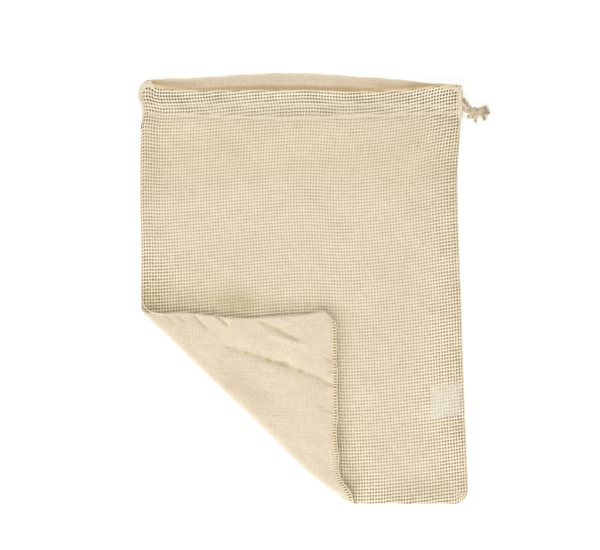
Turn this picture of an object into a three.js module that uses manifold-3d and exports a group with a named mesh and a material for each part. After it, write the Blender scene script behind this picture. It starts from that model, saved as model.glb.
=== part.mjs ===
// Cotton produce bag: a net front panel and a plain back panel sewn into a flat bag with a drawstring casing.
// It lies flat on its plain side with its lower left corner folded up over the front.
// Millimetres, +Z up, X across the bag, +Y towards the mouth.
// The origin is the middle of the bag, on the surface that it lies on.
import * as THREE from 'three';
import { mergeVertices } from 'three/addons/utils/BufferGeometryUtils.js';
import Module from 'manifold-3d';

const wasm = await Module();
wasm.setup();

// Driving sizes of the bag
const HALF_WIDTH = 150;
const BOTTOM = -201.6;
const CORNER_RADIUS = 12;
const BACK_THICK = 1.0;
const NET_THICK = 1.2;
const LABEL_THICK = 1.0;
const SEAM_GAP = 0.4;

// Edges of the bag as it lies unfolded: the left and right side seams at heights up the bag
const SIDES = [
  { y: -202, left: -146.0, right: 154.2 },
  { y: -187, left: -146.3, right: 154.0 },
  { y: -120, left: -148.5, right: 151.2 },
  { y: -60, left: -151.0, right: 149.0 },
  { y: -10, left: -152.4, right: 147.6 },
  { y: 36, left: -152.3, right: 145.7 },
  { y: 80, left: -153.1, right: 144.3 },
  { y: 110, left: -153.2, right: 144.3 },
  { y: 150, left: -152.2, right: 146.5 },
  { y: 167, left: -150.6, right: 147.0 },
  { y: 180, left: -154.0, right: 147.2 },
  { y: 190, left: -153.3, right: 148.6 },
  { y: 204, left: -152.0, right: 148.8 },
];

// Mouth edges and casing stitch line of the two panels, and the cord's line inside each casing
const MOUTH = [
  { x: -154, back: 190.0, front: 189.5, stitch: 164.5 },
  { x: -147, back: 193.6, front: 192.6, stitch: 164.3 },
  { x: -140, back: 195.6, front: 190.6, stitch: 164.0 },
  { x: -130, back: 196.6, front: 187.6, stitch: 163.3 },
  { x: -97, back: 197.6, front: 185.0, stitch: 161.2 },
  { x: -60, back: 200.2, front: 185.2, stitch: 159.8 },
  { x: -20, back: 202.0, front: 185.4, stitch: 159.0 },
  { x: 16, back: 201.2, front: 185.0, stitch: 159.2 },
  { x: 48, back: 199.0, front: 183.8, stitch: 160.2 },
  { x: 85, back: 196.6, front: 185.2, stitch: 162.0 },
  { x: 110, back: 193.8, front: 187.2, stitch: 163.4 },
  { x: 128, back: 192.0, front: 189.6, stitch: 164.4 },
  { x: 150, back: 191.4, front: 190.6, stitch: 165.0 },
];
const CORD_LINES = [
  { x: -143, back: 186.0, front: 172.0 },
  { x: -100, back: 185.4, front: 172.0 },
  { x: -34, back: 188.0, front: 172.0 },
  { x: 36, back: 187.0, front: 172.0 },
  { x: 100, back: 181.6, front: 171.6 },
  { x: 148, back: 178.8, front: 170.2 },
];

// Casing: turned-in hem, its roll at the mouth edge and the bulge over the cord
const ROLL_RADIUS = 0.95;
const CASING_BULGE = 3.9;
const BULGE_REACH = 4.6;
const BULGE_START = { from: -1, to: 4 };
const BULGE_ROW = 6.5;
const CASING_RIDGE = 0.7;
const RIDGE_REACH = 5.5;
const HEM_ABOVE = 6;
const HEM_BELOW = 6;
const HEM_TAIL = 2;
const HEM_DEPTH = 27;
const SHORT_HEM = 3;
const HEM_START = 6.5;
const HEM_FULL = 14.5;
const HEM_GAP = 0.35;
const HEM_CLOSES = 24;

// How high the front stands off the back: slack in the middle, fuller along the seams, open at the mouth
const SLACK_GAP = 0.9;
const SEAM_PUFF = 1.3;
const PUFF_AT = 9;
const PUFF_REACH = 9;
const PUFF_ENDS = { from: 140, to: 166 };
const SIDE_LIFT = 7.5;
const SIDE_RISE = { from: 112, to: 166 };
const MID_LIFT = 15.6;
const MID_RISE = { from: 30, to: 172 };
const LIFT_HALF_WIDTH = 149;
const LIFT_SHAPE = 2.4;
const FOLD_CALM = 16;
const LABEL_LIFT = { x: 134, y: -106, reach: 30, height: 1.6 };
const EDGE_ROUND = 2.2;
const CASING_ROUND = 2.2;
const ROUND_GROWS = { from: 118, to: 166 };
const SLIT_FROM = 157;
const SLIT_TO = 162;

// Cloth of a panel: half its width, and its height from the bottom seam to the mouth roll
const ACROSS = HALF_WIDTH + EDGE_ROUND * (Math.PI / 2 - 1);
const UP = 393;

// Diagonal fold of the lower left corner
const FOLD_POINT = new THREE.Vector2(-144.3, -27.7);
const FOLD_ALONG = new THREE.Vector2(0.7169, -0.6972);
const FOLD_OUT = new THREE.Vector2(-0.6972, -0.7169);
const FOLD_CENTRE = 4.4;
const FOLD_RADIUS = 3.0;
const FOLD_BEND_AT = 211;
const FOLD_BEND = 0.17;
const BEND_REACH = 4;
const FLAP_HEIGHT = 8.2;
const FLAP_SETTLE = 24;
const ROLL_STEPS = 8;
const FOLD_BESIDE = [6, 15];
const CUT_SNAP = 0.12;

// Lines across and up the cloth, close together along edges, casing, mouth roll and cord
const EDGE_STEPS = [0, 1.3, 3.4];
const BOTTOM_ROW = 7;
const CELL_FOLDED = 17;
const CELL_FLAT = 20;
const CELL_PLAIN = 25;
const FOLDED_ROWS = { from: 13, to: 190 };
const PLAIN_ROWS_END = 344;
const CASING_ROWS = [356, 362, 368, 374, 380, 386.5];
const ROLL_SHARES = [0.33, 0.67, 1];
const CORD_ROWS = [0, 2.1, 4.3, 6.5, 8.7, 10.9, 13];
const SLOPE_STEP = 0.04;
const NEAR = 0.01;

// The flap's shifts in the plane: its seams sag and draw in from the straight folded lines
const FLAP_SHIFTS = [
  { x: -55, y: -22, dx: 0, dy: -6.5, reach: 52 },
  { x: 35, y: -150, dx: -2.4, dy: 0, reach: 40 },
  { x: 39, y: -176, dx: -4.4, dy: 0, reach: 15 },
  { x: 47, y: -197, dx: 2.4, dy: 0, reach: 14 },
];

// Soft troughs and ridges as straight runs: ends, half width, and height, below zero for a trough
const FLAP_FOLDS = [
  { x1: -72, y1: -54, x2: -17, y2: -71, width: 5.5, height: -1.0 },
  { x1: -17, y1: -71, x2: 25, y2: -90, width: 5.5, height: -1.0 },
  { x1: -41, y1: -31, x2: -6, y2: -48, width: 4.5, height: -0.8 },
  { x1: -30, y1: -44, x2: 0, y2: -53, width: 4.5, height: 0.7 },
  { x1: -72, y1: -78, x2: -21, y2: -119, width: 13, height: -0.9 },
  { x1: -100, y1: -60, x2: -62, y2: -104, width: 15, height: 0.7 },
  { x1: 5, y1: -105, x2: 14, y2: -160, width: 15, height: 0.6 },
  { x1: -131, y1: -24, x2: -122, y2: -32, width: 2.6, height: -0.7 },
  { x1: -102, y1: -26, x2: -91, y2: -37, width: 2.8, height: -0.8 },
  { x1: -80, y1: -27, x2: -72, y2: -34, width: 2.6, height: -0.9 },
];
const FRONT_FOLDS = [
  { x1: -120, y1: 118, x2: -20, y2: 96, width: 13, height: 0.7 },
  { x1: -70, y1: 70, x2: 70, y2: 96, width: 15, height: -0.45 },
  { x1: -20, y1: 30, x2: 110, y2: 55, width: 16, height: 0.7 },
  { x1: -120, y1: 20, x2: -20, y2: 10, width: 18, height: 0.5 },
  { x1: 60, y1: -60, x2: 126, y2: -20, width: 15, height: 0.6 },
  { x1: 70, y1: -176, x2: 96, y2: -120, width: 14, height: 0.6 },
];

// Care label, sewn into the right side seam
const LABEL = { x1: 119, x2: 147.9, y1: -121.5, y2: -91, rise: 0.085, height: 1.85 };
const LABEL_CURL = { across: 9, up: 12, height: 0.25 };
const LABEL_CELL = 8;

// Drawstring: diameter and the route that it takes, from the knot round the mouth and back to the knot
const CORD_DIAMETER = 3.6;
const CORD_STEPS = 80;
const CORD_SIDES = 8;
const CORD_ROUTE = [
  [156.2, 169.2, 6.6], [153.2, 173.6, 4.6], [149.8, 177.6, 3.4], [145.0, 178.9, 3.2], [128, 179.8, 3.2],
  [100, 181.6, 3.2], [70, 184.6, 3.2], [36, 187.0, 3.2], [0, 188.0, 3.2], [-34, 188.0, 3.2], [-68, 186.5, 3.2],
  [-100, 185.4, 3.2], [-128, 185.8, 3.2], [-143.2, 186.0, 3.2], [-146.8, 185.1, 3.5], [-149.4, 182.5, 4.4],
  [-150.3, 179.0, 5.75], [-149.4, 175.5, 7.1], [-146.8, 172.9, 8.05], [-143.4, 172.0, 8.6], [-136, 172.0, 9.5],
  [-120, 172.0, 11.1], [-100, 172.0, 12.8], [-68, 172.0, 14.65], [-34, 172.0, 15.7], [0, 172.0, 15.95],
  [36, 172.0, 15.65], [70, 171.8, 14.55], [100, 171.6, 12.8], [116, 171.3, 11.45], [128, 171.0, 10.28],
  [142, 170.5, 8.75], [148.6, 169.9, 7.95], [152.4, 166.9, 6.9],
];

// Knot: lumps of the two cords wound round each other, and the frayed ends
const KNOT_LUMPS = [
  { x: 156.4, y: 163.4, z: 5.2, rx: 3.3, ry: 5.0, rz: 5.0, turn: 25 },
  { x: 160.8, y: 166.4, z: 5.8, rx: 3.6, ry: 6.0, rz: 5.6, turn: 10 },
  { x: 165.2, y: 165.4, z: 5.6, rx: 3.6, ry: 5.6, rz: 5.4, turn: -10 },
  { x: 160.6, y: 162.6, z: 4.8, rx: 5.6, ry: 3.4, rz: 4.6, turn: -20 },
  { x: 169.0, y: 165.8, z: 5.2, rx: 3.0, ry: 4.4, rz: 4.4, turn: 0 },
];
const FRAY_COUNT = 13;
const FRAY_ROOT = new THREE.Vector3(168, 165.4, 5.0);
const FRAY_LENGTH = 7.5;
const FRAY_WIDTH = 1.0;
const FRAY_SPREAD = 1.25;
const FRAY_BURIED = 4;
const FRAY_ROW = 5;
const KNOT_CLEARANCE = 0.4;
const KNOT_BORE_SIDES = 12;
const KNOT_BORE_STEPS = 16;
const LUMP_SIDES = 12;
const LUMP_ROWS = 8;
const MERGE_WITHIN = 1e-4;

// Small helpers
const clamp01 = (value) => Math.min(1, Math.max(0, value));
const bell = (distance, reach) => Math.exp(-((distance / reach) ** 2));

function ramp(from, to, at) {
  const t = clamp01((at - from) / (to - from));
  return t * t * (3 - 2 * t);
}

// Smooth curve through one column of a table, keyed by another
function follow(table, key, column, at) {
  const last = table.length - 1;
  let i = 0;
  while (i < last - 1 && at > table[i + 1][key]) i += 1;
  const slope = (k) => {
    const a = table[Math.max(0, k - 1)];
    const b = table[Math.min(last, k + 1)];
    return (b[column] - a[column]) / (b[key] - a[key]);
  };
  const span = table[i + 1][key] - table[i][key];
  const t = Math.min(1.2, Math.max(-0.2, (at - table[i][key]) / span));
  const h = t * t * (3 - 2 * t);
  const start = t * (1 - t) * (1 - t);
  const end = t * t * (t - 1);
  const straight = table[i][column] * (1 - h) + table[i + 1][column] * h;
  return straight + span * (slope(i) * start + slope(i + 1) * end);
}

// Height at a place that a list of soft runs gives
function runs(list, x, y) {
  let height = 0;
  for (const run of list) {
    const along = new THREE.Vector2(run.x2 - run.x1, run.y2 - run.y1);
    const t = clamp01(((x - run.x1) * along.x + (y - run.y1) * along.y) / along.lengthSq());
    height += run.height * bell(Math.hypot(x - run.x1 - t * along.x, y - run.y1 - t * along.y), run.width);
  }
  return height;
}

const leftEdge = (y) => follow(SIDES, 'y', 'left', y);
const rightEdge = (y) => follow(SIDES, 'y', 'right', y);
const mouthOf = (panel, x) => follow(MOUTH, 'x', panel, x);
const stitchLine = (x) => follow(MOUTH, 'x', 'stitch', x);
const cordLine = (panel, x) => follow(CORD_LINES, 'x', panel, x);

// Distance outward past the line where the corner starts to roll over
function pastFold(x, y) {
  const along = (x - FOLD_POINT.x) * FOLD_ALONG.x + (y - FOLD_POINT.y) * FOLD_ALONG.y;
  const out = (x - FOLD_POINT.x) * FOLD_OUT.x + (y - FOLD_POINT.y) * FOLD_OUT.y;
  const bent = FOLD_BEND * BEND_REACH * Math.log(1 + Math.exp((along - FOLD_BEND_AT) / BEND_REACH));
  return out + FOLD_CENTRE + bent;
}

// Middle of the front panel's outer layer above the surface, where the bag lies unfolded
function frontHeight(x, y) {
  const inset = Math.min(x - leftEdge(y), rightEdge(y) - x, y - BOTTOM);
  const nearFold = 1 - bell(pastFold(x, y), FOLD_CALM);
  const { reach, height } = LABEL_LIFT;
  const label = height * bell(x - LABEL_LIFT.x, reach) * bell(y - LABEL_LIFT.y, reach);
  const ends = 1 - ramp(PUFF_ENDS.from, PUFF_ENDS.to, y);
  const puff = SEAM_PUFF * bell(inset - PUFF_AT, PUFF_REACH) * nearFold * ends;
  const across = clamp01(1 - Math.abs(x / LIFT_HALF_WIDTH) ** LIFT_SHAPE);
  const sideLift = SIDE_LIFT * ramp(SIDE_RISE.from, SIDE_RISE.to, y);
  const lift = sideLift + (MID_LIFT - SIDE_LIFT) * across * ramp(MID_RISE.from, MID_RISE.to, y);
  const ridge = CASING_RIDGE * bell(((y - cordLine('front', x)) / RIDGE_REACH) ** 2, 1);
  const folds = runs(FRONT_FOLDS, x, y) * nearFold;
  return BACK_THICK + NET_THICK / 2 + SLACK_GAP + Math.max(puff, label) + lift + ridge + folds;
}

// Spacing between the two layers of a casing, at a distance below the mouth edge
function casingSpacing(panel, x, below) {
  const thick = panel === 'front' ? NET_THICK : BACK_THICK;
  const roll = 2 * ROLL_RADIUS;
  const flat = roll + (thick + HEM_GAP - roll) * clamp01((below - ROLL_RADIUS) / HEM_CLOSES);
  const fromCord = mouthOf(panel, x) - below - cordLine(panel, x);
  const start = ramp(BULGE_START.from, BULGE_START.to, below - ROLL_RADIUS);
  return flat + CASING_BULGE * bell((fromCord / BULGE_REACH) ** 2, 1) * start;
}

// Height up the bag of a turned-in hem, at a cloth distance past the mouth roll.
// Its rows keep to the cord's line.
function hemPlace(panel, x, past) {
  const cord = cordLine(panel, x);
  const hemEnd = panel === 'front' ? stitchLine(x) - HEM_TAIL : mouthOf(panel, x) - HEM_DEPTH;
  const top = mouthOf(panel, x) - ROLL_RADIUS;
  const half = BULGE_ROW;
  if (past < HEM_ABOVE) return top + (past / HEM_ABOVE) * (cord + half - top);
  if (past < HEM_ABOVE + 2 * half) return cord + half - (past - HEM_ABOVE);
  return cord - half + ((past - HEM_ABOVE - 2 * half) / HEM_BELOW) * (hemEnd - cord + half);
}

// Roll the corner over: a point's place in the flat bag, and its height there
function foldOver(x, y, height) {
  const past = pastFold(x, y);
  if (past <= 0) return new THREE.Vector3(x, y, height);
  const angle = Math.min(Math.PI, past / FOLD_RADIUS);
  const over = Math.max(0, past - Math.PI * FOLD_RADIUS);
  const radius = FOLD_CENTRE - height;
  const out = radius * Math.sin(angle) - over - past;
  const risen = FOLD_CENTRE - radius * Math.cos(angle);
  const place = new THREE.Vector3(x + out * FOLD_OUT.x, y + out * FOLD_OUT.y, risen);
  const turned = ramp(0, Math.PI, angle);
  let dx = 0;
  let dy = 0;
  for (const shift of FLAP_SHIFTS) {
    const share = turned * bell(Math.hypot(place.x - shift.x, place.y - shift.y), shift.reach);
    dx += share * shift.dx;
    dy += share * shift.dy;
  }
  place.x += dx;
  place.y += dy;
  const settled = ramp(0, FLAP_SETTLE, over);
  place.z += settled * (FLAP_HEIGHT - 2 * FOLD_CENTRE + runs(FLAP_FOLDS, place.x, place.y));
  return place;
}

// Plan inset and closing share for a cloth distance from the cut edge.
// The cloth rounds over there to meet the other panel.
function roundEdge(distance, round) {
  const quarter = (Math.PI / 2) * round;
  const inset = distance < quarter ? round * (1 - Math.cos(distance / round)) : distance - quarter + round;
  const closing = distance < quarter ? 1 - Math.sin(distance / round) : 0;
  return { inset, closing };
}

// Where a cloth distance across and up a panel lies in the flat bag, and how far its edge has closed there
function flatPlace(panel, across, up) {
  const side = Math.sign(across) || 1;
  const nominalY = BOTTOM + (clamp01(up / UP) * UP);
  const round = EDGE_ROUND + CASING_ROUND * ramp(ROUND_GROWS.from, ROUND_GROWS.to, nominalY);
  const sideEdge = roundEdge(ACROSS - Math.abs(across), round);
  const bottomEdge = roundEdge(Math.min(up, UP), EDGE_ROUND);
  let insetX = HALF_WIDTH * (sideEdge.inset / roundEdge(ACROSS, round).inset);
  let insetY = bottomEdge.inset;
  if (insetX < CORNER_RADIUS && insetY < CORNER_RADIUS) {
    const a = CORNER_RADIUS - insetX;
    const b = CORNER_RADIUS - insetY;
    const pull = Math.max(a, b) / Math.hypot(a, b);
    insetX = CORNER_RADIUS - a * pull;
    insetY = CORNER_RADIUS - b * pull;
  }
  const nominalX = side * (HALF_WIDTH - insetX);
  const mouth = mouthOf(panel, nominalX);
  const full = roundEdge(UP, EDGE_ROUND).inset;
  const stretch = (mouth - ROLL_RADIUS - BOTTOM - full) / full;
  const y = BOTTOM + insetY * (1 + stretch * (insetY / full));
  const middle = (leftEdge(y) + rightEdge(y)) / 2;
  const half = (rightEdge(y) - leftEdge(y)) / 2;
  const slit = side > 0 ? 1 - ramp(SLIT_FROM, SLIT_TO, y) : 1;
  const closing = Math.max(sideEdge.closing * slit, bottomEdge.closing);
  return { x: middle + (nominalX / HALF_WIDTH) * half, y, nominalX, mouth, closing };
}

// A panel's middle surface: its outer layer, the roll at the mouth edge, and the turned-in hem
function panelPoint(panel, across, up) {
  const { x, y, nominalX, mouth, closing } = flatPlace(panel, across, up);
  const rolled = up - UP;
  const floor = BACK_THICK / 2;
  const outer = (atY) => {
    const top = frontHeight(x, atY);
    const meet = ((top - floor) / 2 - SEAM_GAP / 2) * closing;
    return panel === 'front' ? top - meet : floor + meet;
  };
  if (rolled <= 0) return foldOver(x, y, outer(y));
  const inward = panel === 'front' ? -1 : 1;
  const rollLength = Math.PI * ROLL_RADIUS;
  if (rolled < rollLength) {
    const angle = rolled / ROLL_RADIUS;
    const rise = ROLL_RADIUS * (1 - Math.cos(angle));
    return new THREE.Vector3(x, y + ROLL_RADIUS * Math.sin(angle), outer(y) + inward * rise);
  }
  const hemY = hemPlace(panel, nominalX, rolled - rollLength);
  return new THREE.Vector3(x, hemY, outer(hemY) + inward * casingSpacing(panel, nominalX, mouth - hemY));
}

// Closed solid of a cloth sheet: flat cells in cloth coordinates, laid on a middle surface and given
// a thickness
function sheet(cells, surface, thick) {
  const points = [];
  const index = new Map();
  const vertexOf = (u, v) => {
    const key = `${u.toFixed(4)} ${v.toFixed(4)}`;
    if (!index.has(key)) {
      index.set(key, points.length);
      points.push([u, v]);
    }
    return index.get(key);
  };
  const faces = [];
  for (const cell of cells) {
    const ids = cell.map(([u, v]) => vertexOf(u, v));
    const corners = ids.filter((id, k) => id !== ids[(k + 1) % ids.length]);
    for (let k = 1; k < corners.length - 1; k += 1) faces.push([corners[0], corners[k], corners[k + 1]]);
  }
  const step = SLOPE_STEP;
  const upper = [];
  const lower = [];
  for (const [u, v] of points) {
    const place = surface(u, v);
    const du = surface(u + step, v).sub(surface(u - step, v));
    const dv = surface(u, v + step).sub(surface(u, v - step));
    const normal = du.cross(dv).normalize().multiplyScalar(thick / 2);
    upper.push(place.clone().add(normal));
    lower.push(place.clone().sub(normal));
  }
  const count = points.length;
  const triangles = [];
  const used = new Set();
  for (const [a, b, c] of faces) {
    triangles.push(a, b, c, count + a, count + c, count + b);
    for (const [from, to] of [[a, b], [b, c], [c, a]]) used.add(`${from} ${to}`);
  }
  for (const edge of used) {
    const [from, to] = edge.split(' ').map(Number);
    if (used.has(`${to} ${from}`)) continue;
    triangles.push(from, count + from, to, to, count + from, count + to);
  }
  const geometry = new THREE.BufferGeometry();
  const flat = [...upper, ...lower].flatMap((point) => [point.x, point.y, point.z]);
  geometry.setAttribute('position', new THREE.Float32BufferAttribute(flat, 3));
  geometry.setIndex(triangles);
  geometry.computeVertexNormals();
  return geometry;
}

// Cut flat cells along the places where a level function takes a value
function cutCells(cells, level, value, snap) {
  const result = [];
  for (const cell of cells) {
    const heights = cell.map(([u, v]) => {
      const height = level(u, v) - value;
      return Math.abs(height) < snap ? 0 : height;
    });
    if (heights.every((h) => h >= 0) || heights.every((h) => h <= 0)) {
      result.push(cell);
      continue;
    }
    const low = [];
    const high = [];
    cell.forEach((corner, k) => {
      const next = cell[(k + 1) % cell.length];
      const h = heights[k];
      const hNext = heights[(k + 1) % cell.length];
      if (h <= 0) low.push(corner);
      if (h >= 0) high.push(corner);
      if (h * hNext < 0) {
        const t = h / (h - hNext);
        const cut = [corner[0] + t * (next[0] - corner[0]), corner[1] + t * (next[1] - corner[1])];
        low.push(cut);
        high.push(cut);
      }
    });
    result.push(low, high);
  }
  return result;
}

function spread(from, to, step) {
  const count = Math.round(Math.abs(to - from) / step);
  return Array.from({ length: count + 1 }, (unused, k) => from + ((to - from) * k) / count);
}

function panelCells() {
  const edge = [...EDGE_STEPS, HEM_START, HEM_FULL];
  const left = edge.map((distance) => distance - ACROSS);
  const right = edge.map((distance) => ACROSS - distance).reverse();
  const near = spread(-ACROSS + HEM_FULL, 0, CELL_FOLDED).slice(1);
  const far = spread(0, ACROSS - HEM_FULL, CELL_FLAT).slice(1);
  const columns = [...left, ...near, ...far, ...right.slice(1)];
  const bottom = [...EDGE_STEPS, BOTTOM_ROW, FOLDED_ROWS.from];
  const casing = [...CASING_ROWS, UP];
  const hemFrom = UP + Math.PI * ROLL_RADIUS;
  const roll = ROLL_SHARES.map((share) => UP + share * Math.PI * ROLL_RADIUS);
  const overCord = CORD_ROWS.map((distance) => HEM_ABOVE + distance);
  const hemRows = [SHORT_HEM, ...overCord, HEM_ABOVE + 2 * BULGE_ROW + HEM_BELOW];
  const hem = hemRows.map((distance) => hemFrom + distance);
  const folded = spread(FOLDED_ROWS.from, FOLDED_ROWS.to, CELL_FOLDED).slice(1);
  const plain = spread(FOLDED_ROWS.to, PLAIN_ROWS_END, CELL_PLAIN).slice(1);
  const rows = [...bottom, ...folded, ...plain, ...casing, ...roll, ...hem];
  const cells = [];
  for (let i = 0; i < columns.length - 1; i += 1) {
    for (let j = 0; j < rows.length - 1; j += 1) {
      const fromLeft = columns[i] + ACROSS;
      const inHem = rows[j] >= UP;
      const deep = rows[j] >= hemFrom + SHORT_HEM;
      if (inHem && fromLeft < HEM_START - NEAR) continue;
      if (deep && fromLeft < HEM_FULL - NEAR) continue;
      const u = [columns[i], columns[i + 1]];
      const v = [rows[j], rows[j + 1]];
      cells.push([[u[0], v[0]], [u[1], v[0]], [u[1], v[1]], [u[0], v[1]]]);
    }
  }
  return cells;
}

function panelGeometry(panel, thick) {
  const level = (across, up) => {
    const { x, y } = flatPlace(panel, across, up);
    return pastFold(x, y);
  };
  const rollLength = Math.PI * FOLD_RADIUS;
  const rollSteps = Array.from({ length: ROLL_STEPS + 1 }, (unused, k) => (k / ROLL_STEPS) * rollLength);
  let cells = panelCells();
  const beside = FOLD_BESIDE.map((distance) => rollLength + distance);
  for (const value of [-FOLD_BESIDE[0], ...rollSteps, ...beside]) {
    cells = cutCells(cells, level, value, CUT_SNAP);
  }
  return sheet(cells, (across, up) => panelPoint(panel, across, up), thick);
}

function labelGeometry() {
  const cells = [];
  const columns = spread(LABEL.x1, LABEL.x2, LABEL_CELL);
  const rows = spread(LABEL.y1, LABEL.y2, LABEL_CELL);
  for (let i = 0; i < columns.length - 1; i += 1) {
    for (let j = 0; j < rows.length - 1; j += 1) {
      const u = [columns[i], columns[i + 1]];
      const v = [rows[j], rows[j + 1]];
      cells.push([[u[0], v[0]], [u[1], v[0]], [u[1], v[1]], [u[0], v[1]]]);
    }
  }
  const surface = (u, v) => {
    const acrossCurl = ramp(LABEL.x1 + LABEL_CURL.across, LABEL.x1, u);
    const curl = LABEL_CURL.height * acrossCurl * ramp(LABEL.y1 + LABEL_CURL.up, LABEL.y1, v);
    return new THREE.Vector3(u, v + LABEL.rise * (u - LABEL.x1), LABEL.height + curl);
  };
  return sheet(cells, surface, LABEL_THICK);
}

// The drawstring's tube: its steps follow the route's points, which stand closer in the bends
function cordCurve(route) {
  const points = route.map((point) => new THREE.Vector3(...point));
  const curve = new THREE.CatmullRomCurve3(points, false, 'centripetal');
  curve.getUtoTmapping = (u) => u;
  return curve;
}

function tube(curve, diameter, sides, steps) {
  const section = new THREE.Shape();
  section.absarc(0, 0, diameter / 2, 0, 2 * Math.PI, false);
  const options = { steps, extrudePath: curve, bevelEnabled: false, curveSegments: sides / 2 };
  return new THREE.ExtrudeGeometry(section, options);
}

// Join and cut closed pieces
function toManifold(geometry) {
  const bare = geometry.clone();
  bare.deleteAttribute('normal');
  bare.deleteAttribute('uv');
  const merged = mergeVertices(bare, MERGE_WITHIN);
  const vertProperties = new Float32Array(merged.attributes.position.array);
  const triVerts = new Uint32Array(merged.index.array);
  return new wasm.Manifold(new wasm.Mesh({ numProp: 3, vertProperties, triVerts }));
}

function fromManifold(solid) {
  const mesh = solid.getMesh();
  const geometry = new THREE.BufferGeometry();
  geometry.setAttribute('position', new THREE.Float32BufferAttribute(mesh.vertProperties, 3));
  geometry.setIndex(Array.from(mesh.triVerts));
  geometry.computeVertexNormals();
  return geometry;
}

function knotGeometry() {
  let solid = null;
  const add = (geometry) => {
    const piece = toManifold(geometry);
    solid = solid ? solid.add(piece) : piece;
  };
  for (const lump of KNOT_LUMPS) {
    const ball = new THREE.SphereGeometry(1, LUMP_SIDES, LUMP_ROWS);
    ball.scale(lump.rx, lump.ry, lump.rz);
    ball.rotateZ(THREE.MathUtils.degToRad(lump.turn));
    ball.translate(lump.x, lump.y, lump.z);
    add(ball);
  }
  for (let k = 0; k < FRAY_COUNT; k += 1) {
    const share = k / (FRAY_COUNT - 1) - 0.5;
    const length = FRAY_LENGTH * (0.8 + 0.2 * Math.cos(2.4 * k));
    const strand = new THREE.ConeGeometry(FRAY_WIDTH, length + FRAY_BURIED, 4);
    strand.translate(0, (length - FRAY_BURIED) / 2, 0);
    strand.rotateZ(-Math.PI / 2 + 2 * FRAY_SPREAD * share);
    strand.rotateX(0.5 * Math.sin(1.7 * k));
    strand.translate(FRAY_ROOT.x, FRAY_ROOT.y + FRAY_ROW * share, FRAY_ROOT.z + 0.6 * Math.sin(2.1 * k));
    add(strand);
  }
  const ends = [CORD_ROUTE.slice(0, 3).reverse(), CORD_ROUTE.slice(-3)];
  for (const route of ends) {
    const [before, last] = route.slice(-2).map((point) => new THREE.Vector3(...point));
    const past = last.clone().sub(before).normalize().multiplyScalar(KNOT_CLEARANCE);
    const grown = cordCurve([...route, last.clone().add(past).toArray()]);
    const bore = tube(grown, CORD_DIAMETER + 2 * KNOT_CLEARANCE, KNOT_BORE_SIDES, KNOT_BORE_STEPS);
    solid = solid.subtract(toManifold(bore));
  }
  return fromManifold(solid);
}

// Materials: unbleached cotton
const backCloth = new THREE.MeshStandardMaterial({ color: 0xe6d7bd, roughness: 0.95, metalness: 0 });
const netYarn = new THREE.MeshStandardMaterial({ color: 0xe3d5b9, roughness: 0.95, metalness: 0 });
const cordYarn = new THREE.MeshStandardMaterial({ color: 0xcdbfa5, roughness: 0.95, metalness: 0 });
const labelTape = new THREE.MeshStandardMaterial({ color: 0xece4d2, roughness: 0.7, metalness: 0 });

const bag = new THREE.Group();
function piece(name, geometry, material) {
  const mesh = new THREE.Mesh(geometry, material);
  mesh.name = name;
  bag.add(mesh);
}

piece('back_panel', panelGeometry('back', BACK_THICK), backCloth);
piece('front_net', panelGeometry('front', NET_THICK), netYarn);
piece('care_label', labelGeometry(), labelTape);
piece('drawstring', tube(cordCurve(CORD_ROUTE), CORD_DIAMETER, CORD_SIDES, CORD_STEPS), cordYarn);
piece('drawstring_knot', knotGeometry(), cordYarn);

export default bag;
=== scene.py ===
import math

import bpy
import numpy as np
from bpy.props import FloatProperty, FloatVectorProperty, PointerProperty
from bpy.types import Operator, Panel, PropertyGroup
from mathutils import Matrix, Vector


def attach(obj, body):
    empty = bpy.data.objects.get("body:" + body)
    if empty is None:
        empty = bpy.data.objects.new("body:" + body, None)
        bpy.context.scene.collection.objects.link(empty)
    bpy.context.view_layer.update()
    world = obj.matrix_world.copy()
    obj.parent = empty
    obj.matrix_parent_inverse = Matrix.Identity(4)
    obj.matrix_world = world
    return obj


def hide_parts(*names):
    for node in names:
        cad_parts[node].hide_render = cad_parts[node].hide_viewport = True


bl_info = {
    "name": "Cotton produce bag",
    "version": (1, 0, 0),
    "blender": (4, 5, 0),
    "location": "3D View > Sidebar > Produce bag",
    "description": "Builds a net and cotton produce bag over its packed solids",
    "category": "Add Mesh",
}

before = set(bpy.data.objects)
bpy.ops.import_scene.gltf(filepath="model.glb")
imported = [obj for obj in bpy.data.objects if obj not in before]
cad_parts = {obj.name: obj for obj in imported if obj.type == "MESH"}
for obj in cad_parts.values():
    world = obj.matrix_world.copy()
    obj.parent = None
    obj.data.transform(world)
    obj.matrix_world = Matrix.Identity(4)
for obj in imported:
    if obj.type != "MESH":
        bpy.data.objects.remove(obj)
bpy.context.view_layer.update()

MM = 0.001

# Sizes shared with the solids: the bag's outline, its sheets' thickness, and their gap in the seams
HALF_WIDTH = 150.0
BOTTOM = -201.6
CORNER_RADIUS = 12.0
BACK_THICK = 1.0
NET_THICK = 1.2
LABEL_THICK = 1.0
SEAM_GAP = 0.4

# Side seams at heights up the bag
SIDES = {
    "y": [-202, -187, -120, -60, -10, 36, 80, 110, 150, 167, 180, 190, 204],
    "left": [
        -146.0, -146.3, -148.5, -151.0, -152.4, -152.3, -153.1, -153.2, -152.2, -150.6, -154.0, -153.3,
        -152.0,
    ],
    "right": [154.2, 154.0, 151.2, 149.0, 147.6, 145.7, 144.3, 144.3, 146.5, 147.0, 147.2, 148.6, 148.8],
}

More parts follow.
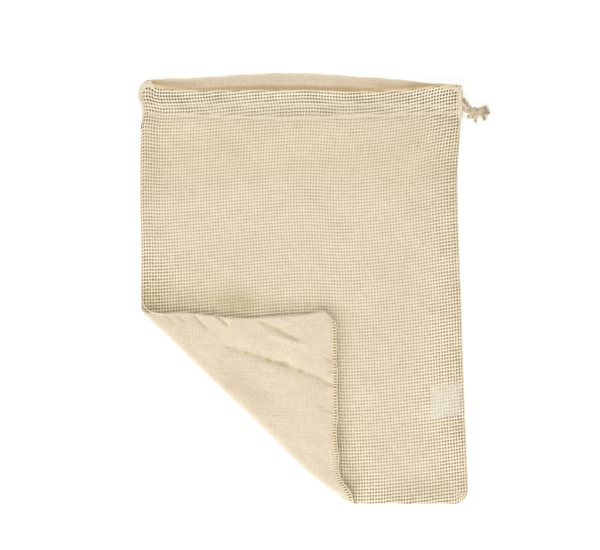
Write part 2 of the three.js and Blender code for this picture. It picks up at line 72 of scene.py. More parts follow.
# Mouth edges and casing stitch line, and the cord's line inside each casing
MOUTH = {
    "x": [-154, -147, -140, -130, -97, -60, -20, 16, 48, 85, 110, 128, 150],
    "back": [190.0, 193.6, 195.6, 196.6, 197.6, 200.2, 202.0, 201.2, 199.0, 196.6, 193.8, 192.0, 191.4],
    "front": [189.5, 192.6, 190.6, 187.6, 185.0, 185.2, 185.4, 185.0, 183.8, 185.2, 187.2, 189.6, 190.6],
    "stitch": [164.5, 164.3, 164.0, 163.3, 161.2, 159.8, 159.0, 159.2, 160.2, 162.0, 163.4, 164.4, 165.0],
}
CORD_LINES = {
    "x": [-143, -100, -34, 36, 100, 148],
    "back": [186.0, 185.4, 188.0, 187.0, 181.6, 178.8],
    "front": [172.0, 172.0, 172.0, 172.0, 171.6, 170.2],
}

# Casing: turned-in hem, its roll at the mouth edge and the bulge over the cord
ROLL_RADIUS = 0.95
CASING_BULGE = 3.9
BULGE_REACH = 4.6
BULGE_START = (-1.0, 4.0)
BULGE_ROW = 6.5
CASING_RIDGE = 0.7
RIDGE_REACH = 5.5
HEM_ABOVE = 6.0
HEM_BELOW = 6.0
HEM_TAIL = 2.0
HEM_DEPTH = 27.0
SHORT_HEM = 3.0
HEM_START = 6.5
HEM_FULL = 14.5
HEM_GAP = 0.35
HEM_CLOSES = 24.0
HEM_LENGTH = HEM_ABOVE + 2 * BULGE_ROW + HEM_BELOW

# How high the front stands off the back
SLACK_GAP = 0.9
SEAM_PUFF = 1.3
PUFF_AT = 9.0
PUFF_REACH = 9.0
PUFF_ENDS = (140.0, 166.0)
SIDE_LIFT = 7.5
SIDE_RISE = (112.0, 166.0)
MID_LIFT = 15.6
MID_RISE = (30.0, 172.0)
LIFT_HALF_WIDTH = 149.0
LIFT_SHAPE = 2.4
FOLD_CALM = 16.0
LABEL_LIFT = {"x": 134.0, "y": -106.0, "reach": 30.0, "height": 1.6}

# Rounding of the panels' edges, which grows towards the casing, and where the right seam opens for the cord
EDGE_ROUND = 2.2
CASING_ROUND = 2.2
ROUND_GROWS = (118.0, 166.0)
SLIT = (157.0, 162.0)

# Small shifts of the mouth edges in the plane: their corners, the front's raised lip, and how soon they fade
MOUTH_CORNERS = {"x": [-151, 151], "reach": [2.3, 2.6], "shift": [-5.5, -1.7]}
FRONT_LIP = {"x": -141, "reach": 4.4, "shift": 4.6}
MOUTH_SHIFT_FADES = 8.0
HEM_SHIFT_FADES = 3.0

# Waves along an edge: length, rise and start, and how far and how slowly each wanders
FRONT_MOUTH_WAVES = {"length": [4.3], "rise": [0.15], "start": [0], "wander": [0], "slow": [1]}
BACK_MOUTH_WAVES = {
    "length": [2.3, 5.1], "rise": [0.17, 0.22], "start": [0, 0.6], "wander": [1.5, 0], "slow": [9, 1],
}
BOTTOM_WAVES = {
    "length": [6.1, 3.3], "rise": [0.3, 0.22], "start": [0, 0.8], "wander": [0, 0], "slow": [1, 1],
}
BOTTOM_IN = -0.25
BOTTOM_SHIFT_FADES = 8.0

# Puckers that the bottom seam's stitches pull: wide ones, and one at each stitch
PUCKER_WAVES = {
    "length": [1.7, 2.9], "rise": [1, 0.7], "start": [0, 1.3], "wander": [0.8, 0], "slow": [5.3, 1],
}
PUCKERS = {"up": 8.0, "reach": 4.5, "height": 0.13}
STITCH_PUCKERS = {"up": 5.6, "reach": 1.8, "height": 0.1, "length": 0.86}
GROOVE = {"reach": 0.8, "depth": 0.42}

# Crumples of handled cotton: their lengths and rises, each laid in three directions
CRUMPLES = {"length": [31, 23, 17, 12.5, 9.5, 7], "rise": [0.16, 0.13, 0.1, 0.07, 0.05, 0.035]}
CRUMPLE_TURNS = (0.0, 1.1, 2.3)
CRUMPLE_TURN_STEP = 0.7
CRUMPLE_START_STEP = 1.7
CRUMPLE_WANDER = (1.4, 1.9)
CRUMPLE_SCALE = 0.75

# Diagonal fold of the lower left corner
FOLD_POINT = (-144.3, -27.7)
FOLD_ALONG = (0.7169, -0.6972)
FOLD_OUT = (-0.6972, -0.7169)
FOLD_CENTRE = 4.4
FOLD_RADIUS = 3.0
FOLD_BEND_AT = 211.0
FOLD_BEND = 0.17
BEND_REACH = 4.0
FLAP_HEIGHT = 8.2
FLAP_SETTLE = 24.0
CREASES_START = 6.0

# Shifts of the folded corner in the plane: where, how far each way, and how wide
FLAP_SHIFTS = {
    "x": [-55, 35, 39, 47, -140, 28, -3, 18],
    "y": [-22, -150, -176, -197, -22, -24, -22, -22],
    "dx": [0, -2.4, -4.4, 2.4, 0, -0.4, 0, 0],
    "dy": [-6.5, 0, 0, 0, -2.4, -0.5, -1.0, 1.1],
    "reach": [52, 40, 15, 14, 18, 12, 14, 11],
}

# Soft troughs and ridges: ends, half width and height, below zero for a trough
FLAP_FOLDS = {
    "x1": [-72, -17, -41, -30, -72, -100, 5, -131, -102, -80],
    "y1": [-54, -71, -31, -44, -78, -60, -105, -24, -26, -27],
    "x2": [-17, 25, -6, 0, -21, -62, 14, -122, -91, -72],
    "y2": [-71, -90, -48, -53, -119, -104, -160, -32, -37, -34],
    "width": [5.5, 5.5, 4.5, 4.5, 13, 15, 15, 2.6, 2.8, 2.6],
    "height": [-1.0, -1.0, -0.8, 0.7, -0.9, 0.7, 0.6, -0.7, -0.8, -0.9],
}
FRONT_FOLDS = {
    "x1": [-120, -70, -20, -120, 60, 70],
    "y1": [118, 70, 30, 20, -60, -176],
    "x2": [-20, 70, 110, -20, 126, 96],
    "y2": [96, 96, 55, 10, -20, -120],
    "width": [13, 15, 16, 18, 15, 14],
    "height": [0.7, -0.45, 0.7, 0.5, 0.6, 0.6],
}

# Painted shade on the net: a painted shadow beside the folded corner, and painted shade along the sides and
# under the casing; heights below zero are painted light on the casing's yarns and along the folded corner's
# edges
NET_SHADES = {
    "x1": [-150, -62, -28, 34, 34, -152, 147, -140, 100, -146, -146, -138, -71, -39, 31.5],
    "y1": [-10, -14, -20, -34, -140, -20, -150, 125, -194, 160, 177, -21, -26, -24, -34],
    "x2": [-62, -36, 18, 34, 47, -152, 147, 140, 150, 148, 148, -71, -39, 18, 31.5],
    "y2": [-14, -15, -18, -140, -188, 180, 170, 125, -190, 161, 177, -26, -24, -20, -140],
    "width": [15, 14, 8, 10, 10, 15, 14, 34, 18, 6, 9, 2.4, 2.4, 2.4, 2.4],
    "height": [0.8, 0.45, 0.45, 0.6, 0.6, 0.25, 0.2, 0.28, 0.3, 0.25, -0.3, -0.5, -0.5, -0.5, -0.4],
}

# Finer creases of the folded corner, and its puckers into the seams
FLAP_CREASES = {
    "x1": [-72, -33, -17, -3, -41, -30, -23, -131, -118, -102, -80, 19, 24, 16, 20, -60, -20, 2],
    "y1": [-54, -67, -71, -77, -31, -45, -29, -24, -26, -26, -27, -65, -78, -111, -89, -24, -22, -30],
    "x2": [-33, -17, -3, 26, -6, 0, -13, -122, -111, -91, -72, 29, 30, 30, 30, -54, -17, 8],
    "y2": [-67, -71, -77, -90, -48, -53, -33, -32, -32, -37, -34, -69, -78, -118, -90, -31, -27, -36],
    "width": [2.4, 2.2, 2.2, 2.6, 1.9, 2.2, 2.0, 1.4, 1.4, 1.6, 1.4, 1.5, 1.3, 1.8, 1.3, 1.8, 1.6, 2.4],
    "height": [
        -0.6, -0.9, -0.7, -0.6, -0.85, 0.6, 0.6, -0.5, -0.5, -0.7, -0.85, -0.5, -0.5, -0.5, -0.5, -0.4,
        -0.4, 0.4,
    ],
}

# Painted shade along the folded corner's creases and in a soft patch on it, and painted highlights on its
# ridges where the heights are below zero
FLAP_SHADES = {
    "x1": [-72, -54, -33, -17, -3, 14, -41, -24, -30, -23, -131, -118, -102, -80, 19, 24, 16, -66, -22],
    "y1": [-54, -60, -67, -71, -77, -84, -31, -39, -45, -29, -24, -26, -26, -27, -65, -78, -111, -86, -58],
    "x2": [-54, -33, -17, -3, 14, 26, -24, -6, 0, -13, -122, -111, -91, -72, 29, 30, 30, -32, 10],
    "y2": [-60, -67, -71, -77, -84, -90, -39, -48, -53, -33, -32, -32, -37, -34, -69, -78, -118, -108, -66],
    "width": [1.5, 1.8, 2.2, 2.2, 1.8, 1.6, 1.7, 1.7, 1.8, 2.0, 0.9, 0.8, 1.0, 0.9, 1.0, 0.9, 1.5, 13, 6],
    "height": [
        0.4, 0.7, 0.75, 0.5, 0.55, 0.7, 0.7, 0.7, -0.3, -0.25, 0.7, 0.7, 0.7, 1.3, 0.7, 0.7, 0.5, 0.24, -0.05,
    ],
}

# Net wrapped round the bottom seam: its rails and the groove beside it as cloth distances up the back panel,
# and its ends across the panel
WRAP_FROM = 0.5
WRAP_TO = 3.7
WRAP_GROOVE = 4.5
WRAP_START = -142.0
WRAP_END = 56.0

# Rolled seams at the two ends of the fold: the side seam where it runs in, and the bottom seam at its foot
SEAM_ROLL = [
    (-151.8, -9.0, 3.0), (-151.2, -13.2, 3.6), (-149.0, -17.4, 4.8), (-145.6, -20.6, 6.6),
    (-141.4, -22.6, 7.8), (-135.0, -23.6, 8.2), (-128.0, -24.6, 8.2), (-120.0, -25.4, 7.6),
]
FOOT_ROLL = [
    (28.5, -188.0, 2.6), (34.5, -194.6, 2.2), (41.5, -199.2, 1.7), (49.0, -201.4, 1.4), (60.0, -201.6, 1.2),
]
SEAM_ROLL_HALF = 0.6
FOOT_ROLL_HALF = 0.9

# Seam allowances at the casing's ends, as distances in from the side and up the panel, and half widths
LEFT_BAND = [
    (2.0, 356, 0.5), (2.8, 366, 2.0), (3.0, 376, 2.5), (3.2, 385, 2.6),
    (5.8, 390.0, 3.1), (11, 390.9, 2.8), (17, 392.2, 0.8),
]
RIGHT_BAND = [
    (1.2, 334, 0.4), (1.6, 348, 1.4), (1.8, 364, 2.0), (2.0, 380, 2.2),
    (3.8, 389.2, 2.5), (8, 390.8, 2.1), (15, 391.6, 1.7), (22, 392.4, 0.6),
]

# Care label, sewn into the right side seam: its curled lower corner, its crown and its ripples
LABEL = {"x1": 119.0, "x2": 147.9, "y1": -121.5, "y2": -91.0, "rise": 0.085, "height": 1.85}
LABEL_CURL = {"across": 9.0, "up": 12.0, "height": 0.25}
LABEL_CROWN = {"height": 0.7, "slope": 7.0}
LABEL_RIPPLE = {"height": 0.08, "across": 5.0, "up": 6.5}

# Drawstring route, from the knot round the mouth and back to the knot
CORD_DIAMETER = 3.6
CORD_ROUTE = [
    (156.2, 169.2, 6.6), (153.2, 173.6, 4.6), (149.8, 177.6, 3.4), (145.0, 178.9, 3.2),
    (128, 179.8, 3.2), (100, 181.6, 3.2), (70, 184.6, 3.2), (36, 187.0, 3.2), (0, 188.0, 3.2),
    (-34, 188.0, 3.2), (-68, 186.5, 3.2), (-100, 185.4, 3.2), (-128, 185.8, 3.2), (-143.2, 186.0, 3.2),
    (-146.8, 185.1, 3.5), (-149.4, 182.5, 4.4), (-150.3, 179.0, 5.75), (-149.4, 175.5, 7.1),
    (-146.8, 172.9, 8.05), (-143.4, 172.0, 8.6), (-136, 172.0, 9.5), (-120, 172.0, 11.1),
    (-100, 172.0, 12.8), (-68, 172.0, 14.65), (-34, 172.0, 15.7), (0, 172.0, 15.95),
    (36, 172.0, 15.65), (70, 171.8, 14.55), (100, 171.6, 12.8), (116, 171.3, 11.45),
    (128, 171.0, 10.28), (142, 170.5, 8.75), (148.6, 169.9, 7.95), (152.4, 166.9, 6.9),
]

# Knot: its middle in y and z, and the wraps of both strands round their own core
KNOT_MIDDLE = (164.6, 5.8)
KNOT_WRAP = {"ry": 4.4, "rz": 3.2, "from_x": 156.8, "to_x": 166.0, "turns": 1.55, "slant": 0.42, "points": 13}
KNOT_STRAND = 3.9
KNOT_LAY = 11.0
KNOT_CORE = 1.3

# Strand's way into the knot and out of it: x, share of its distance from the core, and shifts in y and z
KNOT_IN = [(157.4, 1.0, 0.8, 0.6), (160.0, 1.0, 0.0, 0.0), (164.0, 1.0, 0.0, -0.3), (167.2, 0.8, 0.0, -0.2)]
KNOT_OUT = [(159.0, -1.0, 0.0, -0.4), (163.5, -1.0, 0.0, -0.2), (168.2, -0.7, 0.0, -0.2)]

# Frayed tufts: root, direction in degrees from +X, length, spread and number of fibres
FRAY_TUFTS = {
    "x": [167.4, 168.2, 167.6, 161.6],
    "y": [167.6, 165.2, 162.4, 160.4],
    "z": [6.2, 5.4, 4.8, 4.2],
    "turn": [38, 4, -52, -98],
    "length": [5.8, 6.4, 5.2, 5.0],
    "spread": [0.22, 0.3, 0.24, 0.3],
    "count": [46, 70, 42, 22],
}
FIBRE_POINTS = 6
FIBRE_HALF = (0.27, 0.12)
FIBRE_HEIGHTS = (0.8, 10.5)
FIBRE_END = 175.4


# Helpers on arrays of places


def clamp01(value):
    """The value, kept between 0 and 1."""
    return np.clip(value, 0.0, 1.0)


def bell(distance, reach):
    """One in the middle, and fading evenly with distance."""
    return np.exp(-((distance / reach) ** 2))


def ramp(start, end, at):
    """Smooth step from 0 at the start to 1 at the end."""
    t = clamp01((at - start) / (end - start))
    return t * t * (3 - 2 * t)


def follow(table, key, column, at):
    """Smooth curve through one column of a table, keyed by another."""
    keys = np.array(table[key], float)
    values = np.array(table[column], float)
    at = np.asarray(at, float)
    i = np.clip(np.searchsorted(keys[1:-1], at, side="left"), 0, len(keys) - 2)
    before = np.maximum(np.arange(len(keys)) - 1, 0)
    after = np.minimum(np.arange(len(keys)) + 1, len(keys) - 1)
    slope = (values[after] - values[before]) / (keys[after] - keys[before])
    span = keys[i + 1] - keys[i]
    t = np.clip((at - keys[i]) / span, -0.2, 1.2)
    h = t * t * (3 - 2 * t)
    start = t * (1 - t) * (1 - t)
    end = t * t * (t - 1)
    return values[i] * (1 - h) + values[i + 1] * h + span * (slope[i] * start + slope[i + 1] * end)


def rows_of(table):
    """The rows of a table of named columns, in the columns' order."""
    return zip(*table.values())


def waves(table, at):
    """Sum of a table's waves along an edge."""
    height = 0.0
    for length, rise, start, wander, slow in rows_of(table):
        height = height + rise * np.sin(at / length + start + wander * np.sin(at / slow))
    return height


def runs(table, x, y):
    """Height at a place that a table of soft runs gives."""
    height = np.zeros(np.broadcast(x, y).shape)
    for x1, y1, x2, y2, width, rise in rows_of(table):
        ax, ay = x2 - x1, y2 - y1
        t = clamp01(((x - x1) * ax + (y - y1) * ay) / (ax * ax + ay * ay))
        height = height + rise * bell(np.hypot(x - x1 - t * ax, y - y1 - t * ay), width)
    return height


def left_edge(y):
    """Where the left side seam lies at a height up the bag."""
    return follow(SIDES, "y", "left", y)


def right_edge(y):
    """Where the right side seam lies at a height up the bag."""
    return follow(SIDES, "y", "right", y)


def mouth_of(panel, x):
    """Height of a panel's mouth edge across the bag."""
    return follow(MOUTH, "x", panel, x)


def cord_line(panel, x):
    """Height of the cord inside a panel's casing across the bag."""
    return follow(CORD_LINES, "x", panel, x)


def past_fold(x, y):
    """Distance of a place in the flat bag past the start of the diagonal fold."""
    along = (x - FOLD_POINT[0]) * FOLD_ALONG[0] + (y - FOLD_POINT[1]) * FOLD_ALONG[1]
    out = (x - FOLD_POINT[0]) * FOLD_OUT[0] + (y - FOLD_POINT[1]) * FOLD_OUT[1]
    bent = FOLD_BEND * BEND_REACH * np.log1p(np.exp((along - FOLD_BEND_AT) / BEND_REACH))
    return out + FOLD_CENTRE + bent


def front_height(x, y):
    """Middle of the front panel's outer layer above the surface, where the bag lies unfolded."""
    inset = np.minimum(np.minimum(x - left_edge(y), right_edge(y) - x), y - BOTTOM)
    near_fold = 1 - bell(past_fold(x, y), FOLD_CALM)
    reach = LABEL_LIFT["reach"]
    label = LABEL_LIFT["height"] * bell(x - LABEL_LIFT["x"], reach) * bell(y - LABEL_LIFT["y"], reach)
    puff = SEAM_PUFF * bell(inset - PUFF_AT, PUFF_REACH) * near_fold * (1 - ramp(*PUFF_ENDS, y))
    across = clamp01(1 - np.abs(x / LIFT_HALF_WIDTH) ** LIFT_SHAPE)
    lift = SIDE_LIFT * ramp(*SIDE_RISE, y) + (MID_LIFT - SIDE_LIFT) * across * ramp(*MID_RISE, y)
    ridge = CASING_RIDGE * bell(((y - cord_line("front", x)) / RIDGE_REACH) ** 2, 1)
    folds = runs(FRONT_FOLDS, x, y) * near_fold
    return BACK_THICK + NET_THICK / 2 + SLACK_GAP + np.maximum(puff, label) + lift + ridge + folds


def casing_spacing(panel, x, below):
    """Distance between a casing's two layers, at a distance below the mouth edge."""
    thick = NET_THICK if panel == "front" else BACK_THICK
    roll = 2 * ROLL_RADIUS
    flat = roll + (thick + HEM_GAP - roll) * clamp01((below - ROLL_RADIUS) / HEM_CLOSES)
    from_cord = mouth_of(panel, x) - below - cord_line(panel, x)
    start = ramp(*BULGE_START, below - ROLL_RADIUS)
    return flat + CASING_BULGE * bell((from_cord / BULGE_REACH) ** 2, 1) * start


def hem_place(panel, x, past):
    """Height up the bag of the turned-in hem, at a cloth distance past the roll."""
    cord = cord_line(panel, x)
    end = follow(MOUTH, "x", "stitch", x) - HEM_TAIL if panel == "front" else mouth_of(panel, x) - HEM_DEPTH
    top = mouth_of(panel, x) - ROLL_RADIUS
    half = BULGE_ROW
    over = top + (past / HEM_ABOVE) * (cord + half - top)
    beside = cord + half - (past - HEM_ABOVE)
    under = cord - half + ((past - HEM_ABOVE - 2 * half) / HEM_BELOW) * (end - cord + half)
    return np.where(past < HEM_ABOVE, over, np.where(past < HEM_ABOVE + 2 * half, beside, under))


def crumple(x, y):
    """Soft uneven rise and fall of handled cotton."""
    height = 0.0
    wander, quicker = CRUMPLE_WANDER
    for k, (length, rise) in enumerate(rows_of(CRUMPLES)):
        for turn in CRUMPLE_TURNS:
            angle = turn + CRUMPLE_TURN_STEP * k
            along = x * math.cos(angle) + y * math.sin(angle)
            aside = y * math.cos(angle) - x * math.sin(angle)
            start = CRUMPLE_START_STEP * k + turn + wander * np.sin(aside / length * quicker)
            height = height + rise * np.sin(2 * math.pi * along / length + start)
    return CRUMPLE_SCALE * height


def mouth_shift(panel, x):
    """Shifts of a mouth edge in the plane: its corners, the front's raised lip and the back's unevenness."""
    corners = sum(shift * bell(x - at, reach) for at, reach, shift in rows_of(MOUTH_CORNERS))
    if panel == "front":
        lip = FRONT_LIP["shift"] * bell(x - FRONT_LIP["x"], FRONT_LIP["reach"])
        return corners + lip + waves(FRONT_MOUTH_WAVES, x)
    return corners + waves(BACK_MOUTH_WAVES, x)


def bottom_shift(x):
    """Small uneven shifts of the bottom seam in the plane."""
    return waves(BOTTOM_WAVES, x) + BOTTOM_IN


def seam_pucker(across, up):
    """Groove beside the bottom seam, and the small puckers that run into it."""
    wide = PUCKERS["height"] * waves(PUCKER_WAVES, across) * bell(up - PUCKERS["up"], PUCKERS["reach"])
    stitches = STITCH_PUCKERS["height"] * np.sin(across / STITCH_PUCKERS["length"])
    stitches = stitches * bell(up - STITCH_PUCKERS["up"], STITCH_PUCKERS["reach"])
    return GROOVE["depth"] * bell(up - WRAP_GROOVE, GROOVE["reach"]) + wide + stitches


def fold_over(x, y, height, creases):
    """Roll the corner over: a point's place in the flat bag, and its height there."""
    past = past_fold(x, y)
    angle = np.clip(past / FOLD_RADIUS, 0, math.pi)
    over = np.maximum(0, past - math.pi * FOLD_RADIUS)
    radius = FOLD_CENTRE - height
    out = radius * np.sin(angle) - over - past
    px = x + out * FOLD_OUT[0]
    py = y + out * FOLD_OUT[1]
    pz = FOLD_CENTRE - radius * np.cos(angle)
    turned = ramp(0, math.pi, angle)
    dx = np.zeros(px.shape)
    dy = np.zeros(px.shape)
    for sx, sy, sdx, sdy, reach in rows_of(FLAP_SHIFTS):
        share = turned * bell(np.hypot(px - sx, py - sy), reach)
        dx = dx + share * sdx
        dy = dy + share * sdy
    px, py = px + dx, py + dy
    settled = ramp(0, FLAP_SETTLE, over)
    folds = runs(FLAP_FOLDS, px, py)
    fine = (runs(FLAP_CREASES, px, py) + crumple(px, py)) * creases * ramp(0, CREASES_START, over)
    pz = pz + settled * (FLAP_HEIGHT - 2 * FOLD_CENTRE + folds) + fine
    folded = past > 0
    return np.stack([np.where(folded, px, x), np.where(folded, py, y), np.where(folded, pz, height)], axis=-1)


def round_edge(distance, radius):
    """Inset that a cloth distance from a rounded edge gives, and how far the edge has closed there."""
    quarter = (math.pi / 2) * radius
    inside = distance < quarter
    inset = np.where(inside, radius * (1 - np.cos(distance / radius)), distance - quarter + radius)
    closing = np.where(inside, 1 - np.sin(np.clip(distance / radius, 0, math.pi / 2)), 0.0)
    return inset, closing


# Cloth distances: from a panel's middle to its side edge, from its bottom to the roll, and round the roll
ACROSS = HALF_WIDTH + EDGE_ROUND * (math.pi / 2 - 1)
UP = 393.0
ROLL_LENGTH = math.pi * ROLL_RADIUS


def flat_place(panel, across, up):
    """Where a cloth distance across and up a panel lies in the flat bag, and how far its edge has closed."""
    side = np.where(across < 0, -1.0, 1.0)
    nominal_y = BOTTOM + clamp01(up / UP) * UP
    radius = EDGE_ROUND + CASING_ROUND * ramp(*ROUND_GROWS, nominal_y)
    side_inset, side_closing = round_edge(ACROSS - np.abs(across), radius)
    full_side, _ = round_edge(ACROSS, radius)
    inset_y, bottom_closing = round_edge(np.minimum(up, UP), EDGE_ROUND)
    inset_x = HALF_WIDTH * (side_inset / full_side)
    corner = (inset_x < CORNER_RADIUS) & (inset_y < CORNER_RADIUS)
    a = CORNER_RADIUS - inset_x
    b = CORNER_RADIUS - inset_y
    pull = np.maximum(a, b) / np.maximum(np.hypot(a, b), 1e-9)
    inset_x = np.where(corner, CORNER_RADIUS - a * pull, inset_x)
    inset_y = np.where(corner, CORNER_RADIUS - b * pull, inset_y)
    nominal_x = side * (HALF_WIDTH - inset_x)
    mouth = mouth_of(panel, nominal_x)
    full = float(round_edge(np.float64(UP), EDGE_ROUND)[0])
    stretch = (mouth - ROLL_RADIUS - BOTTOM - full) / full
    y = BOTTOM + inset_y * (1 + stretch * (inset_y / full))
    middle = (left_edge(y) + right_edge(y)) / 2
    half = (right_edge(y) - left_edge(y)) / 2
    slit = np.where(side > 0, 1 - ramp(*SLIT, y), 1.0)
    closing = np.maximum(side_closing * slit, bottom_closing)
    return middle + (nominal_x / HALF_WIDTH) * half, y, nominal_x, mouth, closing


def panel_point(panel, across, up, creases=1.0):
    """A panel's middle surface: outer layer, roll at the mouth edge, and turned-in hem."""
    across, up = np.broadcast_arrays(np.asarray(across, float), np.asarray(up, float))
    x, y, nominal_x, mouth, closing = flat_place(panel, across, up)
    floor = BACK_THICK / 2
    inward = -1.0 if panel == "front" else 1.0

    def outer(at_y):
        top = front_height(x, at_y)
        meet = ((top - floor) / 2 - SEAM_GAP / 2) * closing
        return top - meet if panel == "front" else floor + meet

    rolled = up - UP
    wavy = mouth_shift(panel, nominal_x)
    wavy_below = wavy * np.exp(np.minimum(rolled, 0) / MOUTH_SHIFT_FADES)
    wavy_below = wavy_below + bottom_shift(x) * np.exp(-up / BOTTOM_SHIFT_FADES)
    flat = fold_over(x, y + wavy_below, outer(y) + creases * seam_pucker(across, up), creases)
    angle = np.clip(rolled / ROLL_RADIUS, 0, math.pi)
    roll_y = y + wavy + ROLL_RADIUS * np.sin(angle)
    on_roll = np.stack([x, roll_y, outer(y) + inward * ROLL_RADIUS * (1 - np.cos(angle))], axis=-1)
    past_roll = np.maximum(rolled - ROLL_LENGTH, 0)
    hem_y = hem_place(panel, nominal_x, past_roll) + wavy * np.exp(-past_roll / HEM_SHIFT_FADES)
    hem_z = outer(hem_y) + inward * casing_spacing(panel, nominal_x, mouth - hem_y)
    hem = np.stack([x, hem_y, hem_z], axis=-1)
    past = (rolled >= ROLL_LENGTH)[..., None]
    return np.where((rolled <= 0)[..., None], flat, np.where(past, hem, on_roll))


def cloth_end(across, full):
    """How far up a panel its cloth goes: no hem at the left edge, a short one beside it, then all of it."""
    from_left = across + ACROSS
    short = UP + ROLL_LENGTH + SHORT_HEM
    return np.where(from_left < HEM_START, UP, np.where(from_left < HEM_FULL, short, full))


def on_floor(place, half):
    """Centres of a thread with this half thickness, none of it below the floor."""
    return np.stack([place[:, 0], place[:, 1], np.maximum(place[:, 2], half)], axis=-1)


def unit(vectors):
    """The same directions, each one long."""
    return vectors / np.maximum(np.linalg.norm(vectors, axis=-1, keepdims=True), 1e-9)


def panel_frames(panel, across, up, creases=1.0):
    """Place, direction across, direction up and face normal of a panel at cloth distances."""
    step = 0.04

    def along(step_u, step_v):
        ahead = panel_point(panel, across + step_u, up + step_v, creases)
        return unit(ahead - panel_point(panel, across - step_u, up - step_v, creases))

    place = panel_point(panel, across, up, creases)
    du, dv = along(step, 0.0), along(0.0, step)
    return place, du, dv, unit(np.cross(du, dv))


# Mesh helpers

PATTERN_ROUND = 4.0
ROUTE_STEPS = 40


def new_piece(name, verts, faces, uv, material, shade=None):
    """Mesh object in metres from millimetre points, with a place on the pattern and a painted shade at each
    point, white where none is given.
    """
    mesh = bpy.data.meshes.new(name)
    mesh.from_pydata((np.asarray(verts) * MM).tolist(), [], faces)
    layer = mesh.uv_layers.new(name="cloth")
    corners = np.empty(len(mesh.loops), dtype=np.int32)
    mesh.loops.foreach_get("vertex_index", corners)
    layer.data.foreach_set("uv", (np.asarray(uv, float)[corners] * MM).ravel())
    mesh.polygons.foreach_set("use_smooth", [True] * len(mesh.polygons))
    tones = np.ones((len(verts), 4), dtype=np.float32)
    if shade is not None:
        tones[:, :3] = shade
    mesh.color_attributes.new("shade", "FLOAT_COLOR", "POINT").data.foreach_set("color", tones.ravel())
    mesh.materials.append(material)
    mesh.validate()
    obj = bpy.data.objects.new(name, mesh)
    bpy.context.scene.collection.objects.link(obj)
    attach(obj, "root")
    return obj


def flatten_faces(obj, first):
    """The faces from a number on are flat, so that a cut edge stays crisp."""
    smooth = np.ones(len(obj.data.polygons), dtype=bool)
    smooth[first:] = False
    obj.data.polygons.foreach_set("use_smooth", smooth)


def cloth_solid(points, normals, uv, cells, thick):
    """Closed sheet from a middle surface: both faces, then the cut edges."""
    count = len(points)
    verts = np.concatenate([points + normals * thick / 2, points - normals * thick / 2])
    faces = [list(c) for c in cells] + [[count + k for k in reversed(c)] for c in cells]
    used = set()
    for cell in cells:
        for k in range(len(cell)):
            used.add((cell[k], cell[(k + 1) % len(cell)]))
    rim = [[b, a, count + a, count + b] for a, b in used if (b, a) not in used]
    return verts, faces + rim, np.concatenate([uv, uv]), len(faces)


def tube_faces(rings, sides, base=0):
    """Faces of one closed tube of rings of points, the first point being number base."""
    k = np.arange(rings - 1)[:, None] * sides + base
    a = k + np.arange(sides)[None, :]
    b = k + (np.arange(sides)[None, :] + 1) % sides
    faces = np.stack([a, b, b + sides, a + sides], axis=-1).reshape(-1, 4).tolist()
    faces.append([base + j for j in reversed(range(sides))])
    faces.append([base + (rings - 1) * sides + j for j in range(sides)])
    return faces


def tubes(paths, sides):
    """Closed tubes in one mesh, from paths.

    A path holds centres, two side directions, half a size along each, and places on the pattern.
    """
    verts, faces, uv = [], [], []
    turn = np.arange(sides) * 2 * math.pi / sides
    around = turn[None, :] / (2 * math.pi) * PATTERN_ROUND
    base = 0
    for centres, wide, deep, half_wide, half_deep, along in paths:
        ring = (
            centres[:, None, :]
            + np.cos(turn)[None, :, None] * wide[:, None, :] * half_wide[:, None, None]
            + np.sin(turn)[None, :, None] * deep[:, None, :] * half_deep[:, None, None]
        )
        verts.append(ring.reshape(-1, 3))
        uv.append(np.stack(np.broadcast_arrays(around, along[:, None]), axis=-1).reshape(-1, 2))
        faces.extend(tube_faces(len(centres), sides, base))
        base += len(centres) * sides
    return np.concatenate(verts), faces, np.concatenate(uv)


def joined(parts):
    """Points, faces and pattern places of several meshes as one."""
    verts, faces, uv = [], [], []
    base = 0
    for part_verts, part_faces, part_uv in parts:
        verts.append(part_verts)
        uv.append(part_uv)
        faces.extend([[base + c for c in face] for face in part_faces])
        base += len(part_verts)
    return np.concatenate(verts), faces, np.concatenate(uv)


def carried_frames(centres):
    """Two side directions carried along a path without twist."""
    tangent = unit(np.gradient(centres, axis=0))
    side = np.zeros_like(centres)
    start = np.array([0.0, 0.0, 1.0])
    if abs(tangent[0] @ start) > 0.9:
        start = np.array([0.0, 1.0, 0.0])
    current = start - tangent[0] * (tangent[0] @ start)
    for k, t in enumerate(tangent):
        current = current - t * (current @ t)
        current = current / np.linalg.norm(current)
        side[k] = current
    return side, np.cross(tangent, side)


